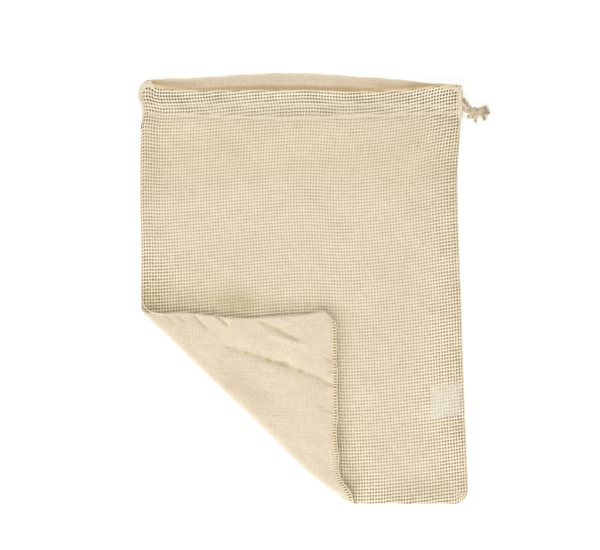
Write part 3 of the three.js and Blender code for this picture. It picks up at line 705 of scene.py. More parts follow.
def smooth_route(points, spacing):
    """Centripetal curve through route points, in even steps, and each step's distance along it."""
    p = np.array(points, float)
    p = np.vstack([2 * p[0] - p[1], p, 2 * p[-1] - p[-2]])
    out = []
    for i in range(1, len(p) - 2):
        knots = [0.0]
        for a, b in ((i - 1, i), (i, i + 1), (i + 1, i + 2)):
            knots.append(knots[-1] + math.sqrt(np.linalg.norm(p[b] - p[a])))
        t0, t1, t2, t3 = knots
        t = np.linspace(t1, t2, ROUTE_STEPS, endpoint=False)[:, None]
        a1 = (t1 - t) / (t1 - t0) * p[i - 1] + (t - t0) / (t1 - t0) * p[i]
        a2 = (t2 - t) / (t2 - t1) * p[i] + (t - t1) / (t2 - t1) * p[i + 1]
        a3 = (t3 - t) / (t3 - t2) * p[i + 1] + (t - t2) / (t3 - t2) * p[i + 2]
        b1 = (t2 - t) / (t2 - t0) * a1 + (t - t0) / (t2 - t0) * a2
        b2 = (t3 - t) / (t3 - t1) * a2 + (t - t1) / (t3 - t1) * a3
        out.append((t2 - t) / (t2 - t1) * b1 + (t - t1) / (t2 - t1) * b2)
    dense = np.vstack([*out, p[-2]])
    lengths = np.concatenate([[0], np.cumsum(np.linalg.norm(np.diff(dense, axis=0), axis=1))])
    at = np.linspace(0, lengths[-1], max(2, int(round(lengths[-1] / spacing)) + 1))
    return np.stack([np.interp(at, lengths, dense[:, k]) for k in range(3)], axis=-1), at


# Materials


def srgb(red, green, blue):
    """Linear colour of one given in steps from 0 to 255."""
    linear = [v / 255 / 12.92 if v <= 10 else ((v / 255 + 0.055) / 1.055) ** 2.4 for v in (red, green, blue)]
    return (*linear, 1.0)


class Wiring:
    """Short hand for nodes and links in one tree."""

    def __init__(self, tree):
        self.tree = tree
        self.column = 0

    def node(self, kind, **values):
        node = self.tree.nodes.new(kind)
        node.location = (self.column * 190, 0)
        self.column += 1
        for key, value in values.items():
            setattr(node, key, value)
        return node

    def link(self, source, target):
        self.tree.links.new(source, target)

    def math(self, operation, first, second=None, clamp=False):
        node = self.node("ShaderNodeMath", operation=operation, use_clamp=clamp)
        for socket, value in zip(node.inputs, (first, second)):
            if isinstance(value, (int, float)):
                socket.default_value = value
            elif value is not None:
                self.link(value, socket)
        return node.outputs[0]

    def noise(self, vector, scale, detail=3.0, rough=0.55):
        node = self.node("ShaderNodeTexNoise")
        node.inputs["Scale"].default_value = scale
        node.inputs["Detail"].default_value = detail
        node.inputs["Roughness"].default_value = rough
        self.link(vector, node.inputs["Vector"])
        return node.outputs["Fac"]

    def stretched(self, vector, x, y):
        node = self.node("ShaderNodeMapping")
        node.inputs["Scale"].default_value = (x, y, 1.0)
        self.link(vector, node.inputs["Vector"])
        return node.outputs[0]

    def blend(self, factor, first, second, mode="MIX"):
        node = self.node("ShaderNodeMix", data_type="RGBA", blend_type=mode)
        if isinstance(factor, (int, float)):
            node.inputs[0].default_value = factor
        else:
            self.link(factor, node.inputs[0])
        for socket, value in ((node.inputs[6], first), (node.inputs[7], second)):
            if isinstance(value, tuple):
                socket.default_value = value
            else:
                self.link(value, socket)
        return node.outputs[2]

    def remap(self, value, low, high, to_low=0.0, to_high=1.0):
        node = self.node("ShaderNodeMapRange")
        self.link(value, node.inputs[0])
        for index, number in enumerate((low, high, to_low, to_high), start=1):
            node.inputs[index].default_value = number
        return node.outputs[0]


def new_group(name, inputs, outputs):
    """Node group with its sockets, ready to be wired between its input and output nodes."""
    group = bpy.data.node_groups.new(name, "ShaderNodeTree")
    for label, kind, default in inputs:
        socket = group.interface.new_socket(name=label, in_out="INPUT", socket_type=kind)
        if default is not None:
            socket.default_value = default
    for label, kind in outputs:
        group.interface.new_socket(name=label, in_out="OUTPUT", socket_type=kind)
    wiring = Wiring(group)
    return wiring, wiring.node("NodeGroupInput"), wiring.node("NodeGroupOutput")


def cotton_tone_group():
    """Unbleached cotton: soft uneven tone, streaks along both threads and small seed flecks."""
    w, given, out = new_group(
        "unbleached_cotton",
        [
            ("Cloth", "NodeSocketVector", None),
            ("Light", "NodeSocketColor", (1, 1, 1, 1)),
            ("Shade", "NodeSocketColor", (0.8, 0.8, 0.8, 1)),
            ("Fleck", "NodeSocketColor", (0.4, 0.3, 0.2, 1)),
            ("Unevenness", "NodeSocketFloat", 0.5),
            ("Flecks", "NodeSocketFloat", 0.5),
        ],
        [("Color", "NodeSocketColor")],
    )
    cloth = given.outputs["Cloth"]
    soft = w.remap(w.noise(cloth, scale=18.0), low=0.3, high=0.7)
    mottle = w.remap(w.noise(cloth, scale=340.0, detail=4.0, rough=0.65), low=0.3, high=0.7)
    across = w.remap(w.noise(w.stretched(cloth, x=60, y=900), scale=1.0, detail=2.0), low=0.35, high=0.65)
    along = w.remap(w.noise(w.stretched(cloth, x=900, y=60), scale=1.0, detail=2.0), low=0.35, high=0.65)
    threads = w.math("ADD", across, along)
    patches = w.math("ADD", soft, w.math("MULTIPLY", mottle, 2.0))
    mixed = w.math("MULTIPLY", w.math("ADD", threads, patches), 0.2)
    share = w.math("MULTIPLY", mixed, given.outputs["Unevenness"], clamp=True)
    tone = w.blend(share, given.outputs["Light"], given.outputs["Shade"])
    seeds = w.node("ShaderNodeTexVoronoi")
    seeds.inputs["Scale"].default_value = 170.0
    w.link(w.stretched(cloth, x=1.0, y=0.45), seeds.inputs["Vector"])
    near = w.remap(seeds.outputs["Distance"], low=0.05, high=0.13, to_low=1.0, to_high=0.0)
    few = w.remap(w.noise(cloth, scale=95.0, detail=1.0), low=0.62, high=0.7)
    specks = w.math("MULTIPLY", w.math("MULTIPLY", near, few), given.outputs["Flecks"], clamp=True)
    w.link(w.blend(specks, tone, given.outputs["Fleck"]), out.inputs["Color"])


def plain_weave_group():
    """Over-and-under threads of a plain weave, with thicker threads here and there."""
    w, given, out = new_group(
        "plain_weave",
        [
            ("Cloth", "NodeSocketVector", None),
            ("Threads", "NodeSocketFloat", 1300.0),
            ("Slubs", "NodeSocketFloat", 0.5),
            ("Nap", "NodeSocketFloat", 0.0),
        ],
        [("Height", "NodeSocketFloat")],
    )
    split = w.node("ShaderNodeSeparateXYZ")
    w.link(given.outputs["Cloth"], split.inputs[0])
    turn = w.math("MULTIPLY", given.outputs["Threads"], math.pi)
    warp = w.math("SINE", w.math("MULTIPLY", split.outputs[0], turn))
    weft = w.math("SINE", w.math("MULTIPLY", split.outputs[1], turn))
    checks = w.math("MULTIPLY", warp, weft)
    thick_warp = w.noise(w.stretched(given.outputs["Cloth"], x=1100, y=22), scale=1.0, detail=1.0)
    thick_weft = w.noise(w.stretched(given.outputs["Cloth"], x=22, y=1100), scale=1.0, detail=1.0)
    slubs = w.math("MULTIPLY", w.math("ADD", thick_warp, thick_weft), given.outputs["Slubs"])
    fluff = w.noise(given.outputs["Cloth"], scale=420.0, detail=4.0, rough=0.7)
    nap = w.math("MULTIPLY", fluff, given.outputs["Nap"])
    woven = w.math("ADD", w.math("MULTIPLY", checks, 0.35), slubs)
    w.link(w.math("ADD", woven, nap), out.inputs["Height"])


def spun_yarn_group():
    """Slanting twist lines round a yarn, with loose fibres."""
    w, given, out = new_group(
        "spun_yarn",
        [
            ("Yarn", "NodeSocketVector", None),
            ("Twist", "NodeSocketFloat", 1500.0),
            ("Slant", "NodeSocketFloat", 1.0),
        ],
        [("Height", "NodeSocketFloat")],
    )
    split = w.node("ShaderNodeSeparateXYZ")
    w.link(given.outputs["Yarn"], split.inputs[0])
    slant = w.math("ADD", w.math("MULTIPLY", split.outputs[0], given.outputs["Slant"]), split.outputs[1])
    twist = w.math("SINE", w.math("MULTIPLY", slant, w.math("MULTIPLY", given.outputs["Twist"], 2 * math.pi)))
    fibres = w.noise(w.stretched(given.outputs["Yarn"], x=2600, y=900), scale=1.0, detail=2.0)
    w.link(w.math("ADD", w.math("MULTIPLY", twist, 0.35), fibres), out.inputs["Height"])


# Painted glow (emission) that stands in for the warm light which thin cotton lets through into its own folds
# and holes, and a stronger painted glow for the pale label
GLOW = (0.09, 0.065, 0.034, 1)
LABEL_GLOW = (0.48, 0.425, 0.31, 1)
COTTON_SHINE = {"Sheen Roughness": 0.6, "Specular IOR Level": 0.15, "Emission Strength": 1.0}


def cotton_material(
    name, light, shade, fleck, uneven, flecks, height, height_values, bump,
    sheen=0.25, rough=0.9, glow=GLOW, dims=True,
):
    """Cotton finish: tone from the shared cotton group, threads from the weave or yarn group.

    The glow is emission, a painted light. Where dims is true, the piece's own shade attribute, which holds
    painted shade and painted light, multiplies its colour and its glow.
    """
    material = bpy.data.materials.new(name)
    material.use_nodes = True
    w = Wiring(material.node_tree)
    shader = material.node_tree.nodes["Principled BSDF"]
    plain = {"Roughness": rough, "Sheen Weight": sheen, **COTTON_SHINE}
    for socket, value in plain.items():
        shader.inputs[socket].default_value = value
    cloth = w.node("ShaderNodeUVMap", uv_map="cloth")
    place = w.node("ShaderNodeTexCoord")
    tone = w.node("ShaderNodeGroup", node_tree=bpy.data.node_groups["unbleached_cotton"])
    w.link(place.outputs["Object"], tone.inputs["Cloth"])
    for socket, value in (("Light", light), ("Shade", shade), ("Fleck", fleck)):
        tone.inputs[socket].default_value = value
    tone.inputs["Unevenness"].default_value = uneven
    tone.inputs["Flecks"].default_value = flecks
    # Painted shade and light: the shade attribute multiplies the colour and the painted glow
    if dims:
        shaded = w.node("ShaderNodeAttribute", attribute_name="shade").outputs["Color"]
        w.link(w.blend(1.0, tone.outputs["Color"], shaded, "MULTIPLY"), shader.inputs["Base Color"])
        w.link(w.blend(1.0, glow, shaded, "MULTIPLY"), shader.inputs["Emission Color"])
    else:
        w.link(tone.outputs["Color"], shader.inputs["Base Color"])
        shader.inputs["Emission Color"].default_value = glow
    threads = w.node("ShaderNodeGroup", node_tree=bpy.data.node_groups[height])
    w.link(cloth.outputs["UV"], threads.inputs[0])
    for socket, value in height_values.items():
        threads.inputs[socket].default_value = value
    bumped = w.node("ShaderNodeBump")
    bumped.inputs["Strength"].default_value = bump[0]
    bumped.inputs["Distance"].default_value = bump[1]
    w.link(threads.outputs["Height"], bumped.inputs["Height"])
    w.link(bumped.outputs["Normal"], shader.inputs["Normal"])


# Settings a user would change


class BagSizes(PropertyGroup):
    """Sizes of the net, the cloth's mesh and the cord's twist"""

    cell_across: FloatProperty(
        name="Cell width", description="Net pitch across the bag",
        default=0.00268, min=0.002, max=0.006, unit="LENGTH",
    )
    cell_up: FloatProperty(
        name="Cell height", description="Net pitch up the bag",
        default=0.0031, min=0.002, max=0.006, unit="LENGTH",
    )
    wale_width: FloatProperty(
        name="Upright yarn", description="Width of the net's upright chains",
        default=0.00138, min=0.0004, max=0.002, unit="LENGTH",
    )
    bar_width: FloatProperty(
        name="Cross yarn", description="Width of the net's cross yarns",
        default=0.00172, min=0.0004, max=0.002, unit="LENGTH",
    )
    weave_step: FloatProperty(
        name="Cloth step", description="Mesh step on the folded cloth",
        default=0.0018, min=0.001, max=0.01, unit="LENGTH",
    )
    cord_lay: FloatProperty(
        name="Cord lay", description="Length of one full twist of the cord",
        default=0.0135, min=0.004, max=0.05, unit="LENGTH",
    )


class BagColours(PropertyGroup):
    """Base colours of the cotton pieces and of the floor"""

    cloth: FloatVectorProperty(
        name="Cloth", description="Plain woven cotton",
        subtype="COLOR", size=4, default=srgb(217, 207, 188), min=0, max=1,
    )
    net: FloatVectorProperty(
        name="Net", description="Knitted cotton net",
        subtype="COLOR", size=4, default=srgb(237, 230, 210), min=0, max=1,
    )
    cord: FloatVectorProperty(
        name="Cord", description="Twisted cotton cord",
        subtype="COLOR", size=4, default=srgb(203, 192, 169), min=0, max=1,
    )
    label: FloatVectorProperty(
        name="Label", description="Woven tape label",
        subtype="COLOR", size=4, default=srgb(250, 246, 236), min=0, max=1,
    )
    floor: FloatVectorProperty(
        name="Floor", description="Pale floor",
        subtype="COLOR", size=4, default=(0.45, 0.45, 0.45, 1), min=0, max=1,
    )


def darker(colour, factor, warm=1.0):
    """A colour made darker, and warmer where warm is below one."""
    return (colour[0] * factor, colour[1] * factor * warm, colour[2] * factor * warm * warm, 1.0)


# Pieces


class BAG_OT_finishes(Operator):
    """Make the cotton finishes that the pieces share"""

    bl_idname = "bag.finishes"
    bl_label = "Cotton finishes"

    def execute(self, context):
        colours = context.scene.bag_colours
        cotton_tone_group()
        plain_weave_group()
        spun_yarn_group()
        cloth, net = tuple(colours.cloth), tuple(colours.net)
        cord, label = tuple(colours.cord), tuple(colours.label)
        seed = srgb(150, 120, 84)
        cotton_material(
            "plain_cotton", light=tuple(1.08 * c for c in cloth), shade=darker(cloth, 0.84, warm=0.96),
            fleck=seed, uneven=1.0, flecks=0.5, height="plain_weave",
            height_values={"Threads": 2000.0, "Slubs": 2.0, "Nap": 4.0}, bump=(0.8, 0.0004),
        )
        cotton_material(
            "net_cotton", light=tuple(1.03 * c for c in net), shade=darker(net, 0.86, warm=0.96),
            fleck=seed, uneven=0.8, flecks=0.25, height="spun_yarn",
            height_values={"Twist": 950.0, "Slant": 0.8}, bump=(0.6, 0.0003),
        )
        cotton_material(
            "cord_cotton", light=cord, shade=darker(cord, 0.8, warm=0.95),
            fleck=seed, uneven=0.8, flecks=0.2, height="spun_yarn",
            height_values={"Twist": 1100.0, "Slant": 1.3}, bump=(0.7, 0.0004), sheen=0.3, dims=False,
        )
        cotton_material(
            "label_tape", light=label, shade=darker(label, 0.95, warm=0.99),
            fleck=label, uneven=0.4, flecks=0.0, height="plain_weave",
            height_values={"Threads": 3200.0, "Slubs": 0.3}, bump=(0.3, 0.00012),
            sheen=0.1, rough=0.6, glow=LABEL_GLOW, dims=False,
        )
        return {"FINISHED"}


def lines(*spans):
    """Ascending grid lines from (start, end, step) spans."""
    out = []
    for start, end, step in spans:
        count = max(1, int(round((end - start) / step)))
        out.extend(np.linspace(start, end, count, endpoint=False).tolist())
    out.append(spans[-1][1])
    return np.array(out)


def mixed(first, second, share):
    """Colours between two, by a share for each place."""
    return np.array(first) * (1 - share[..., None]) + np.array(second) * share[..., None]


def above(span, up):
    """Smooth step up the panel between two distances below the mouth."""
    return ramp(UP - span[0], UP - span[1], up)


# What the cloth's colour is multiplied by: plain, and painted shade below one and painted light above one
PLAIN = (1, 1, 1)
SEAM_SHADE = (0.62, 0.52, 0.38)
CREASE_SHADE = (0.8, 0.73, 0.6)
OPEN_INSIDE_SHADE = (0.76, 0.67, 0.53)
DEEP_INSIDE_SHADE = (0.54, 0.44, 0.31)
MOUTH_RIM_SHADE = (0.98, 0.87, 0.7)
MOUTH_PAINTED_LIGHT = (1.23, 1.25, 1.28)
UNDER_FRONT_SHADE = (0.46, 0.37, 0.26)
NET_PAINTED_SHADE = (0.8, 0.775, 0.68)
HEM_SHADE = (0.27, 0.19, 0.09)
OVER_LABEL_SHADE = (0.92, 0.95, 1.01)

# Painted shade under the net round the bottom seam: its upper edge, its groove and its two ends
WRAP_DIM_TOP = (WRAP_TO - 0.3, WRAP_TO + 0.2)
WRAP_DIM_GROOVE = {"share": 0.35, "reach": 0.5}
WRAP_DIM_START = (WRAP_START - 3, WRAP_START + 2)
WRAP_DIM_END = (WRAP_END - 14, WRAP_END)

# How strongly the painted shade on the back's inside darkens and how far: by its seams, at its lower right
# corner and in its casing
INSIDE = {
    "seams": 0.65, "seams_fade": 22.0, "rim": 0.3, "rim_span": (23.0, 28.0),
    "corner": 6, "corner_reach": 9.0, "casing": 1.4, "casing_span": (34, 24),
}

# Painted light on the back between the two mouth edges, after painted shade by the front's edge: an uneven
# start, and a lighter rim beside the front's edge
MOUTH_BAND = {"span": (2.0, 10.0), "uneven": 1.1, "lengths": (8.0, 21.0), "rim": 0.4, "rim_span": (0.5, 3.0)}


def outer_shade(across, up, verts):
    """Painted shade on the outer face of the back: under the net round the bottom seam and in the folded
    corner's creases, with painted highlights on its ridges.
    """
    band = 1 - ramp(*WRAP_DIM_TOP, up)
    groove = WRAP_DIM_GROOVE["share"] * bell(up - WRAP_GROOVE, WRAP_DIM_GROOVE["reach"])
    ends = ramp(*WRAP_DIM_START, across) * (1 - ramp(*WRAP_DIM_END, across))
    seam = mixed(PLAIN, SEAM_SHADE, np.maximum(band, groove) * ends)
    creased = runs(FLAP_SHADES, verts[:, 0], verts[:, 1]) * ramp(3.0, 5.0, verts[:, 2])
    return seam * mixed(PLAIN, CREASE_SHADE, creased)


def inside_shade(across, up, verts):
    """Painted shade on the inner face of the back under the net, more so by the seams, and painted light
    between the mouth edges.
    """
    x, y = verts[:, 0], verts[:, 1]
    inset = np.minimum(ACROSS - np.abs(across), up)
    corner = bell(np.hypot(ACROSS - across - INSIDE["corner"], up - INSIDE["corner"]), INSIDE["corner_reach"])
    near = INSIDE["seams"] * np.exp(-np.maximum(inset, 0) / INSIDE["seams_fade"])
    near = near + INSIDE["rim"] * (1 - ramp(*INSIDE["rim_span"], inset))
    near = np.maximum(near * (1 - corner), INSIDE["casing"] * above(INSIDE["casing_span"], up))
    under = mixed(OPEN_INSIDE_SHADE, DEEP_INSIDE_SHADE, near)
    past = y - mouth_of("front", x)
    short, long = MOUTH_BAND["lengths"]
    uneven = MOUTH_BAND["uneven"] * np.sin(x / short) * np.sin(x / long)
    mouth = mixed(MOUTH_RIM_SHADE, MOUTH_PAINTED_LIGHT, ramp(*MOUTH_BAND["span"], past + uneven))
    rim = MOUTH_BAND["rim"] * ramp(*MOUTH_BAND["rim_span"], past)
    mouth = mouth * (1 + MOUTH_BAND["rim"] - rim)[:, None]
    # Painted shade on the back where it lies under the front's mouth edge
    mouth = np.where((past < -1.0)[:, None], UNDER_FRONT_SHADE, mouth)
    return np.where((up > UP - 4)[:, None], mouth, under)


# Grid of the back panel's mesh: its side edges, the part that the folded corner takes, and the mouth's start
BACK_EDGE = 4
FLAP_GRID = {"right": 66, "foot": 9, "top": 208}
BACK_MOUTH = 340


class BAG_OT_back_cloth(Operator):
    """Lay the plain woven back panel with its turned-in hem, folded corner and creases"""

    bl_idname = "bag.back_cloth"
    bl_label = "Back panel"

    def execute(self, context):
        step = context.scene.bag_sizes.weave_step / MM
        edge = ACROSS - HEM_FULL
        right, foot, top = FLAP_GRID["right"], FLAP_GRID["foot"], FLAP_GRID["top"]
        columns = lines(
            (-ACROSS, -ACROSS + BACK_EDGE, 0.7), (-ACROSS + BACK_EDGE, right, step), (right, edge, 4),
            (edge, ACROSS - BACK_EDGE, 2), (ACROSS - BACK_EDGE, ACROSS, 0.7),
        )
        roll_end = UP + ROLL_LENGTH
        full = roll_end + HEM_LENGTH
        rows = lines(
            (0, foot, 0.6), (foot, top, step), (top, BACK_MOUTH, 4.5), (BACK_MOUTH, UP, 2.2),
            (UP, roll_end, 0.5), (roll_end, full, 1.3),
        )
        u, v = np.meshgrid(columns, rows, indexing="ij")
        place, _, _, normal = panel_frames("back", u, v)
        middle = (rows[:-1] + rows[1:]) / 2
        limit = cloth_end((columns[:-1] + columns[1:]) / 2, full)
        index = {}
        cells = []
        for i in range(len(columns) - 1):
            for j in np.flatnonzero(middle <= limit[i]).tolist():
                corners = [(i, j), (i + 1, j), (i + 1, j + 1), (i, j + 1)]
                cells.append([index.setdefault(corner, len(index)) for corner in corners])
        at = tuple(np.array(list(index)).T)
        uv = np.stack([u[at], v[at]], axis=-1)
        verts, faces, uv, rim = cloth_solid(place[at], normal[at], uv, cells, BACK_THICK)
        # Painted shade and light at each point, from inside_shade and outer_shade
        shade = inside_shade(uv[:, 0], uv[:, 1], verts)
        half = len(verts) // 2
        across, up = uv[half:, 0], uv[half:, 1]
        shade[half:] = np.where((up > UP)[:, None], shade[half:], outer_shade(across, up, verts[half:]))
        cloth = new_piece("back_cloth", verts, faces, uv, bpy.data.materials["plain_cotton"], shade)
        flatten_faces(cloth, rim)
        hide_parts("back_panel")
        return {"FINISHED"}


# How the net lies on its panel: climb of its cross yarns, and sideways drift of its chains up the bag
ROW_RISE = {
    "across": [-152, -116, -69, -22, 0, 12, 38, 55, 72, 114, 152],
    "rise": [-14.8, -10.6, -5.7, -1.5, -0.1, 0.1, -0.5, 0.2, 1.3, 6.0, 11.5],
}
CHAIN_DRIFT = {
    "up": [0, 40, 100, 160, 225, 262, 300, 340, 400],
    "drift": [0.0, 0.6, 0.3, 0.7, -0.5, -1.7, -2.1, -1.4, -0.6],
}

# How far the net's knots stray, and how its yarns' thickness varies: thinner by the seams and in the casing,
# thicker along its stitches and the mouth and at the mouth's left end, and cloudy. Spans are below the mouth.
KNOT_SHIFTS = (0.06, 0.08)
YARN = {
    "varies": 0.1, "seams": 0.16, "seams_fade": 16.0, "casing": 0.17, "casing_span": (30, 20),
    "lines": 0.13, "stitches": 20.5, "stitches_reach": 3.5, "mouth": 2.5, "mouth_reach": 2.5,
    "cloudy": 0.07, "cloudy_span": (26, 20), "left": 0.16, "left_fades": 22.0, "left_span": (34, 28),
}

# Lengths of those clouds across and up the panel, how far and how slowly they wander, and how they lean
CLOUDS = {"across": 11.0, "wander": 1.6, "slow": 31.0, "up": 7.0, "lean": 19.0}

# How near the panel's edges the net's columns, knots and rows come
NET_INSET = {"columns": 0.5, "knots": 0.3, "first_row": 0.6, "last_row": 0.5}

# Shares of the set yarn widths, and half depths in millimetres, at the knots and between them
WALE = {"knot": 1.12, "between": 0.93, "knot_deep": 0.5, "deep": 0.45, "sides": 6}
BAR = {"knot": 1.05, "between": 0.9, "knot_deep": 0.4, "deep": 0.48, "sides": 4}

# Where the label shows through the net, as its middle and half sizes; the yarns over it take a painted shade,
# a little cooler
LABEL_SHOWS = {"x": 134, "y": -105.5, "half_x": 14.5, "half_y": 15.2}

# Least cloth distance up the panel of any yarn
LOWEST = 0.05


class BAG_OT_net(Operator):
    """Knit the net front panel: upright chains and cross yarns, laid on the panel's own folds"""

    bl_idname = "bag.net"
    bl_label = "Net front"

    STRIPS = 4

    def execute(self, context):
        sizes = context.scene.bag_sizes
        pitch = sizes.cell_up / MM
        half_wale, half_bar = sizes.wale_width / MM / 2, sizes.bar_width / MM / 2
        count = int(round(2 * ACROSS / (sizes.cell_across / MM)))
        edge = ACROSS - NET_INSET["columns"]
        columns = np.linspace(-edge, edge, count + 1)
        full = UP + ROLL_LENGTH + HEM_LENGTH
        limit = cloth_end(columns, full)
        rise = follow(ROW_RISE, "across", "rise", columns)
        first = int(math.floor(-rise.max() / pitch)) - 1
        rows = np.arange(first, int(math.ceil((full - rise.min()) / pitch)) + 2)
        level = rows[:, None] * pitch + rise[None, :]
        u, v, fat = self.unevenness(columns[None, :], level)
        inside = (level > NET_INSET["first_row"]) & (level < limit[None, :] - NET_INSET["last_row"])
        knots = self.frames(u, v, limit)
        wale_mid = self.frames((u[:-1] + u[1:]) / 2, (v[:-1] + v[1:]) / 2, limit)
        bar_u, bar_v = (u[:, :-1] + u[:, 1:]) / 2, (v[:, :-1] + v[:, 1:]) / 2
        bar_mid = self.frames(bar_u, bar_v, np.maximum(limit[:-1], limit[1:]))
        bounds = np.linspace(0, count, self.STRIPS + 1).round().astype(int)
        for k in range(self.STRIPS):
            a, b = bounds[k], bounds[k + 1]
            wales = []
            for i in range(a + (k > 0), b + 1):
                wales.append(self.wale(i, inside, knots, wale_mid, columns[i], limit[i], fat, half_wale))
            bars = []
            for r in range(len(rows)):
                bars.extend(self.bars(r, a, b, inside, knots, bar_mid, fat, half_bar))
            verts, faces, uv = joined([tubes(wales, WALE["sides"]), tubes(bars, BAR["sides"])])
            # Painted shade and light at each point of the yarns
            shade = self.shade(verts)
            net = new_piece(f"net_front_{k + 1}", verts, faces, uv, bpy.data.materials["net_cotton"], shade)
            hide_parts("front_net")
        return {"FINISHED"}

    def unevenness(self, across, level):
        """Places of the knots on the panel, and how thick the yarns are there."""
        rng = np.random.default_rng(11)
        shift_u, shift_v = (rng.normal(0, spread, level.shape) for spread in KNOT_SHIFTS)
        drift = follow(CHAIN_DRIFT, "up", "drift", np.clip(level, 0, 400))
        drift = drift * (1 - np.abs(across / ACROSS) ** 6)
        near_seam = np.exp(-np.minimum(ACROSS - np.abs(across), np.abs(level)) / YARN["seams_fade"])
        thin = YARN["seams"] * near_seam + YARN["casing"] * above(YARN["casing_span"], level)
        fat = (1 + rng.normal(0, YARN["varies"], level.shape)) * (1 - thin)
        stitches = bell(level - UP + YARN["stitches"], YARN["stitches_reach"])
        mouth = bell(level - UP + YARN["mouth"], YARN["mouth_reach"])
        cloudy = np.sin(across / CLOUDS["across"] + CLOUDS["wander"] * np.sin(level / CLOUDS["slow"]))
        cloudy = cloudy * np.sin(level / CLOUDS["up"] + across / CLOUDS["lean"])
        left = np.exp(-(across + ACROSS) / YARN["left_fades"]) * above(YARN["left_span"], level)
        fat = fat + YARN["lines"] * (stitches + mouth) + YARN["left"] * left
        fat = fat + YARN["cloudy"] * cloudy * (1 + above(YARN["cloudy_span"], level))
        edge = ACROSS - NET_INSET["knots"]
        return np.clip(across + shift_u + drift, -edge, edge), level + shift_v, fat

    def shade(self, verts):
        """Painted shade: dark on the turned-in hem, dim where the net's painted shades lie, with painted
        light where their heights are below zero, and a little cooler over the pale label.
        """
        x, y, z = verts[:, 0], verts[:, 1], verts[:, 2]
        # The turned-in hem gets a dark painted shade, so that the casing's holes look deep
        hem = (y > 150) & (z < front_height(x, y) - 1.1)
        beside_x = np.abs(x - LABEL_SHOWS["x"]) - LABEL_SHOWS["half_x"]
        beside_y = np.abs(y - LABEL_SHOWS["y"]) - LABEL_SHOWS["half_y"]
        label = 1 - ramp(-0.4, 0.6, np.maximum(beside_x, beside_y))
        dim = mixed(PLAIN, NET_PAINTED_SHADE, np.minimum(runs(NET_SHADES, x, y), 1.0))
        return np.where(hem[:, None], HEM_SHADE, mixed(PLAIN, OVER_LABEL_SHADE, label) * dim)

    def frames(self, u, v, limit):
        """Places and directions on the panel, none of them past its ends."""
        v = np.clip(v, LOWEST, limit[None, :])
        place, du, dv, normal = panel_frames("front", u, v, 0.0)
        return {"place": place, "du": du, "dv": dv, "normal": normal, "v": v, "u": u}

    def wale(self, i, inside, knots, mids, across, limit, fat, half):
        """One upright chain: thick at its knots and thin between them, from the bottom to its cloth's end."""
        rows = np.flatnonzero(inside[:, i])
        parts = {key: [] for key in ("place", "du", "normal", "v", "wide")}

        def add(source, at, wide):
            for key in ("place", "du", "normal", "v"):
                parts[key].append(source[key][at])
            parts["wide"].append(wide)

        def add_end(up):
            place, du, _, normal = panel_frames("front", np.array([across]), np.array([up]), 0.0)
            add({"place": place, "du": du, "normal": normal, "v": [up]}, 0, half)

        add_end(LOWEST)
        for r in range(rows[0], rows[-1] + 1):
            add(knots, (r, i), half * WALE["knot"] * fat[r, i])
            if r < rows[-1]:
                add(mids, (r, i), half * WALE["between"] * fat[r, i])
        add_end(limit)
        deep = np.full(len(parts["wide"]), WALE["deep"])
        deep[1:-1:2] = WALE["knot_deep"]
        place, du, normal, up, wide = (np.array(values) for values in parts.values())
        return place, du, normal, wide, deep, up

    def bars(self, r, a, b, inside, knots, mids, fat, half):
        """Cross yarns of one row in a strip, one for each unbroken run of cells inside the panel."""
        cells = a + np.flatnonzero(inside[r, a:b + 1])
        breaks = np.flatnonzero(np.diff(cells) > 1) + 1
        spans = [run for run in np.split(cells, breaks) if len(run) > 1]
        return [self.bar(r, run[0], run[-1], knots, mids, fat, half) for run in spans]

    def bar(self, r, first, last, knots, mids, fat, half):
        """One cross yarn, from its first column to its last."""
        n = last - first
        at_knot = np.arange(2 * n + 1) % 2 == 0

        def weave(key):
            knot, mid = knots[key][r, first:last + 1], mids[key][r, first:last]
            out = np.empty((2 * n + 1, *knot.shape[1:]))
            out[at_knot] = knot
            out[~at_knot] = mid
            return out

        wide = np.where(at_knot, half * BAR["knot"], half * BAR["between"])
        wide[~at_knot] *= fat[r, first:last]
        deep = np.where(at_knot, BAR["knot_deep"], BAR["deep"])
        return weave("place"), -weave("dv"), weave("normal"), wide, deep, weave("u")


# Net round the bottom seam: its rungs, and the two rails that they end on. Out is from the back's middle.
RUNG = {
    "points": 6, "half": 0.62, "uneven": 0.08, "deep": 0.42, "out": 0.82, "bulge": 0.2,
    "lean": 0.25, "lean_over": 4, "least_height": 0.45,
}
RAILS = {"up": [WRAP_FROM, WRAP_TO], "half": [0.66, 0.2]}
RAIL = {"wave": 0.12, "deep": 0.45, "out": 0.8, "past": 0.6, "least_height": 0.7}


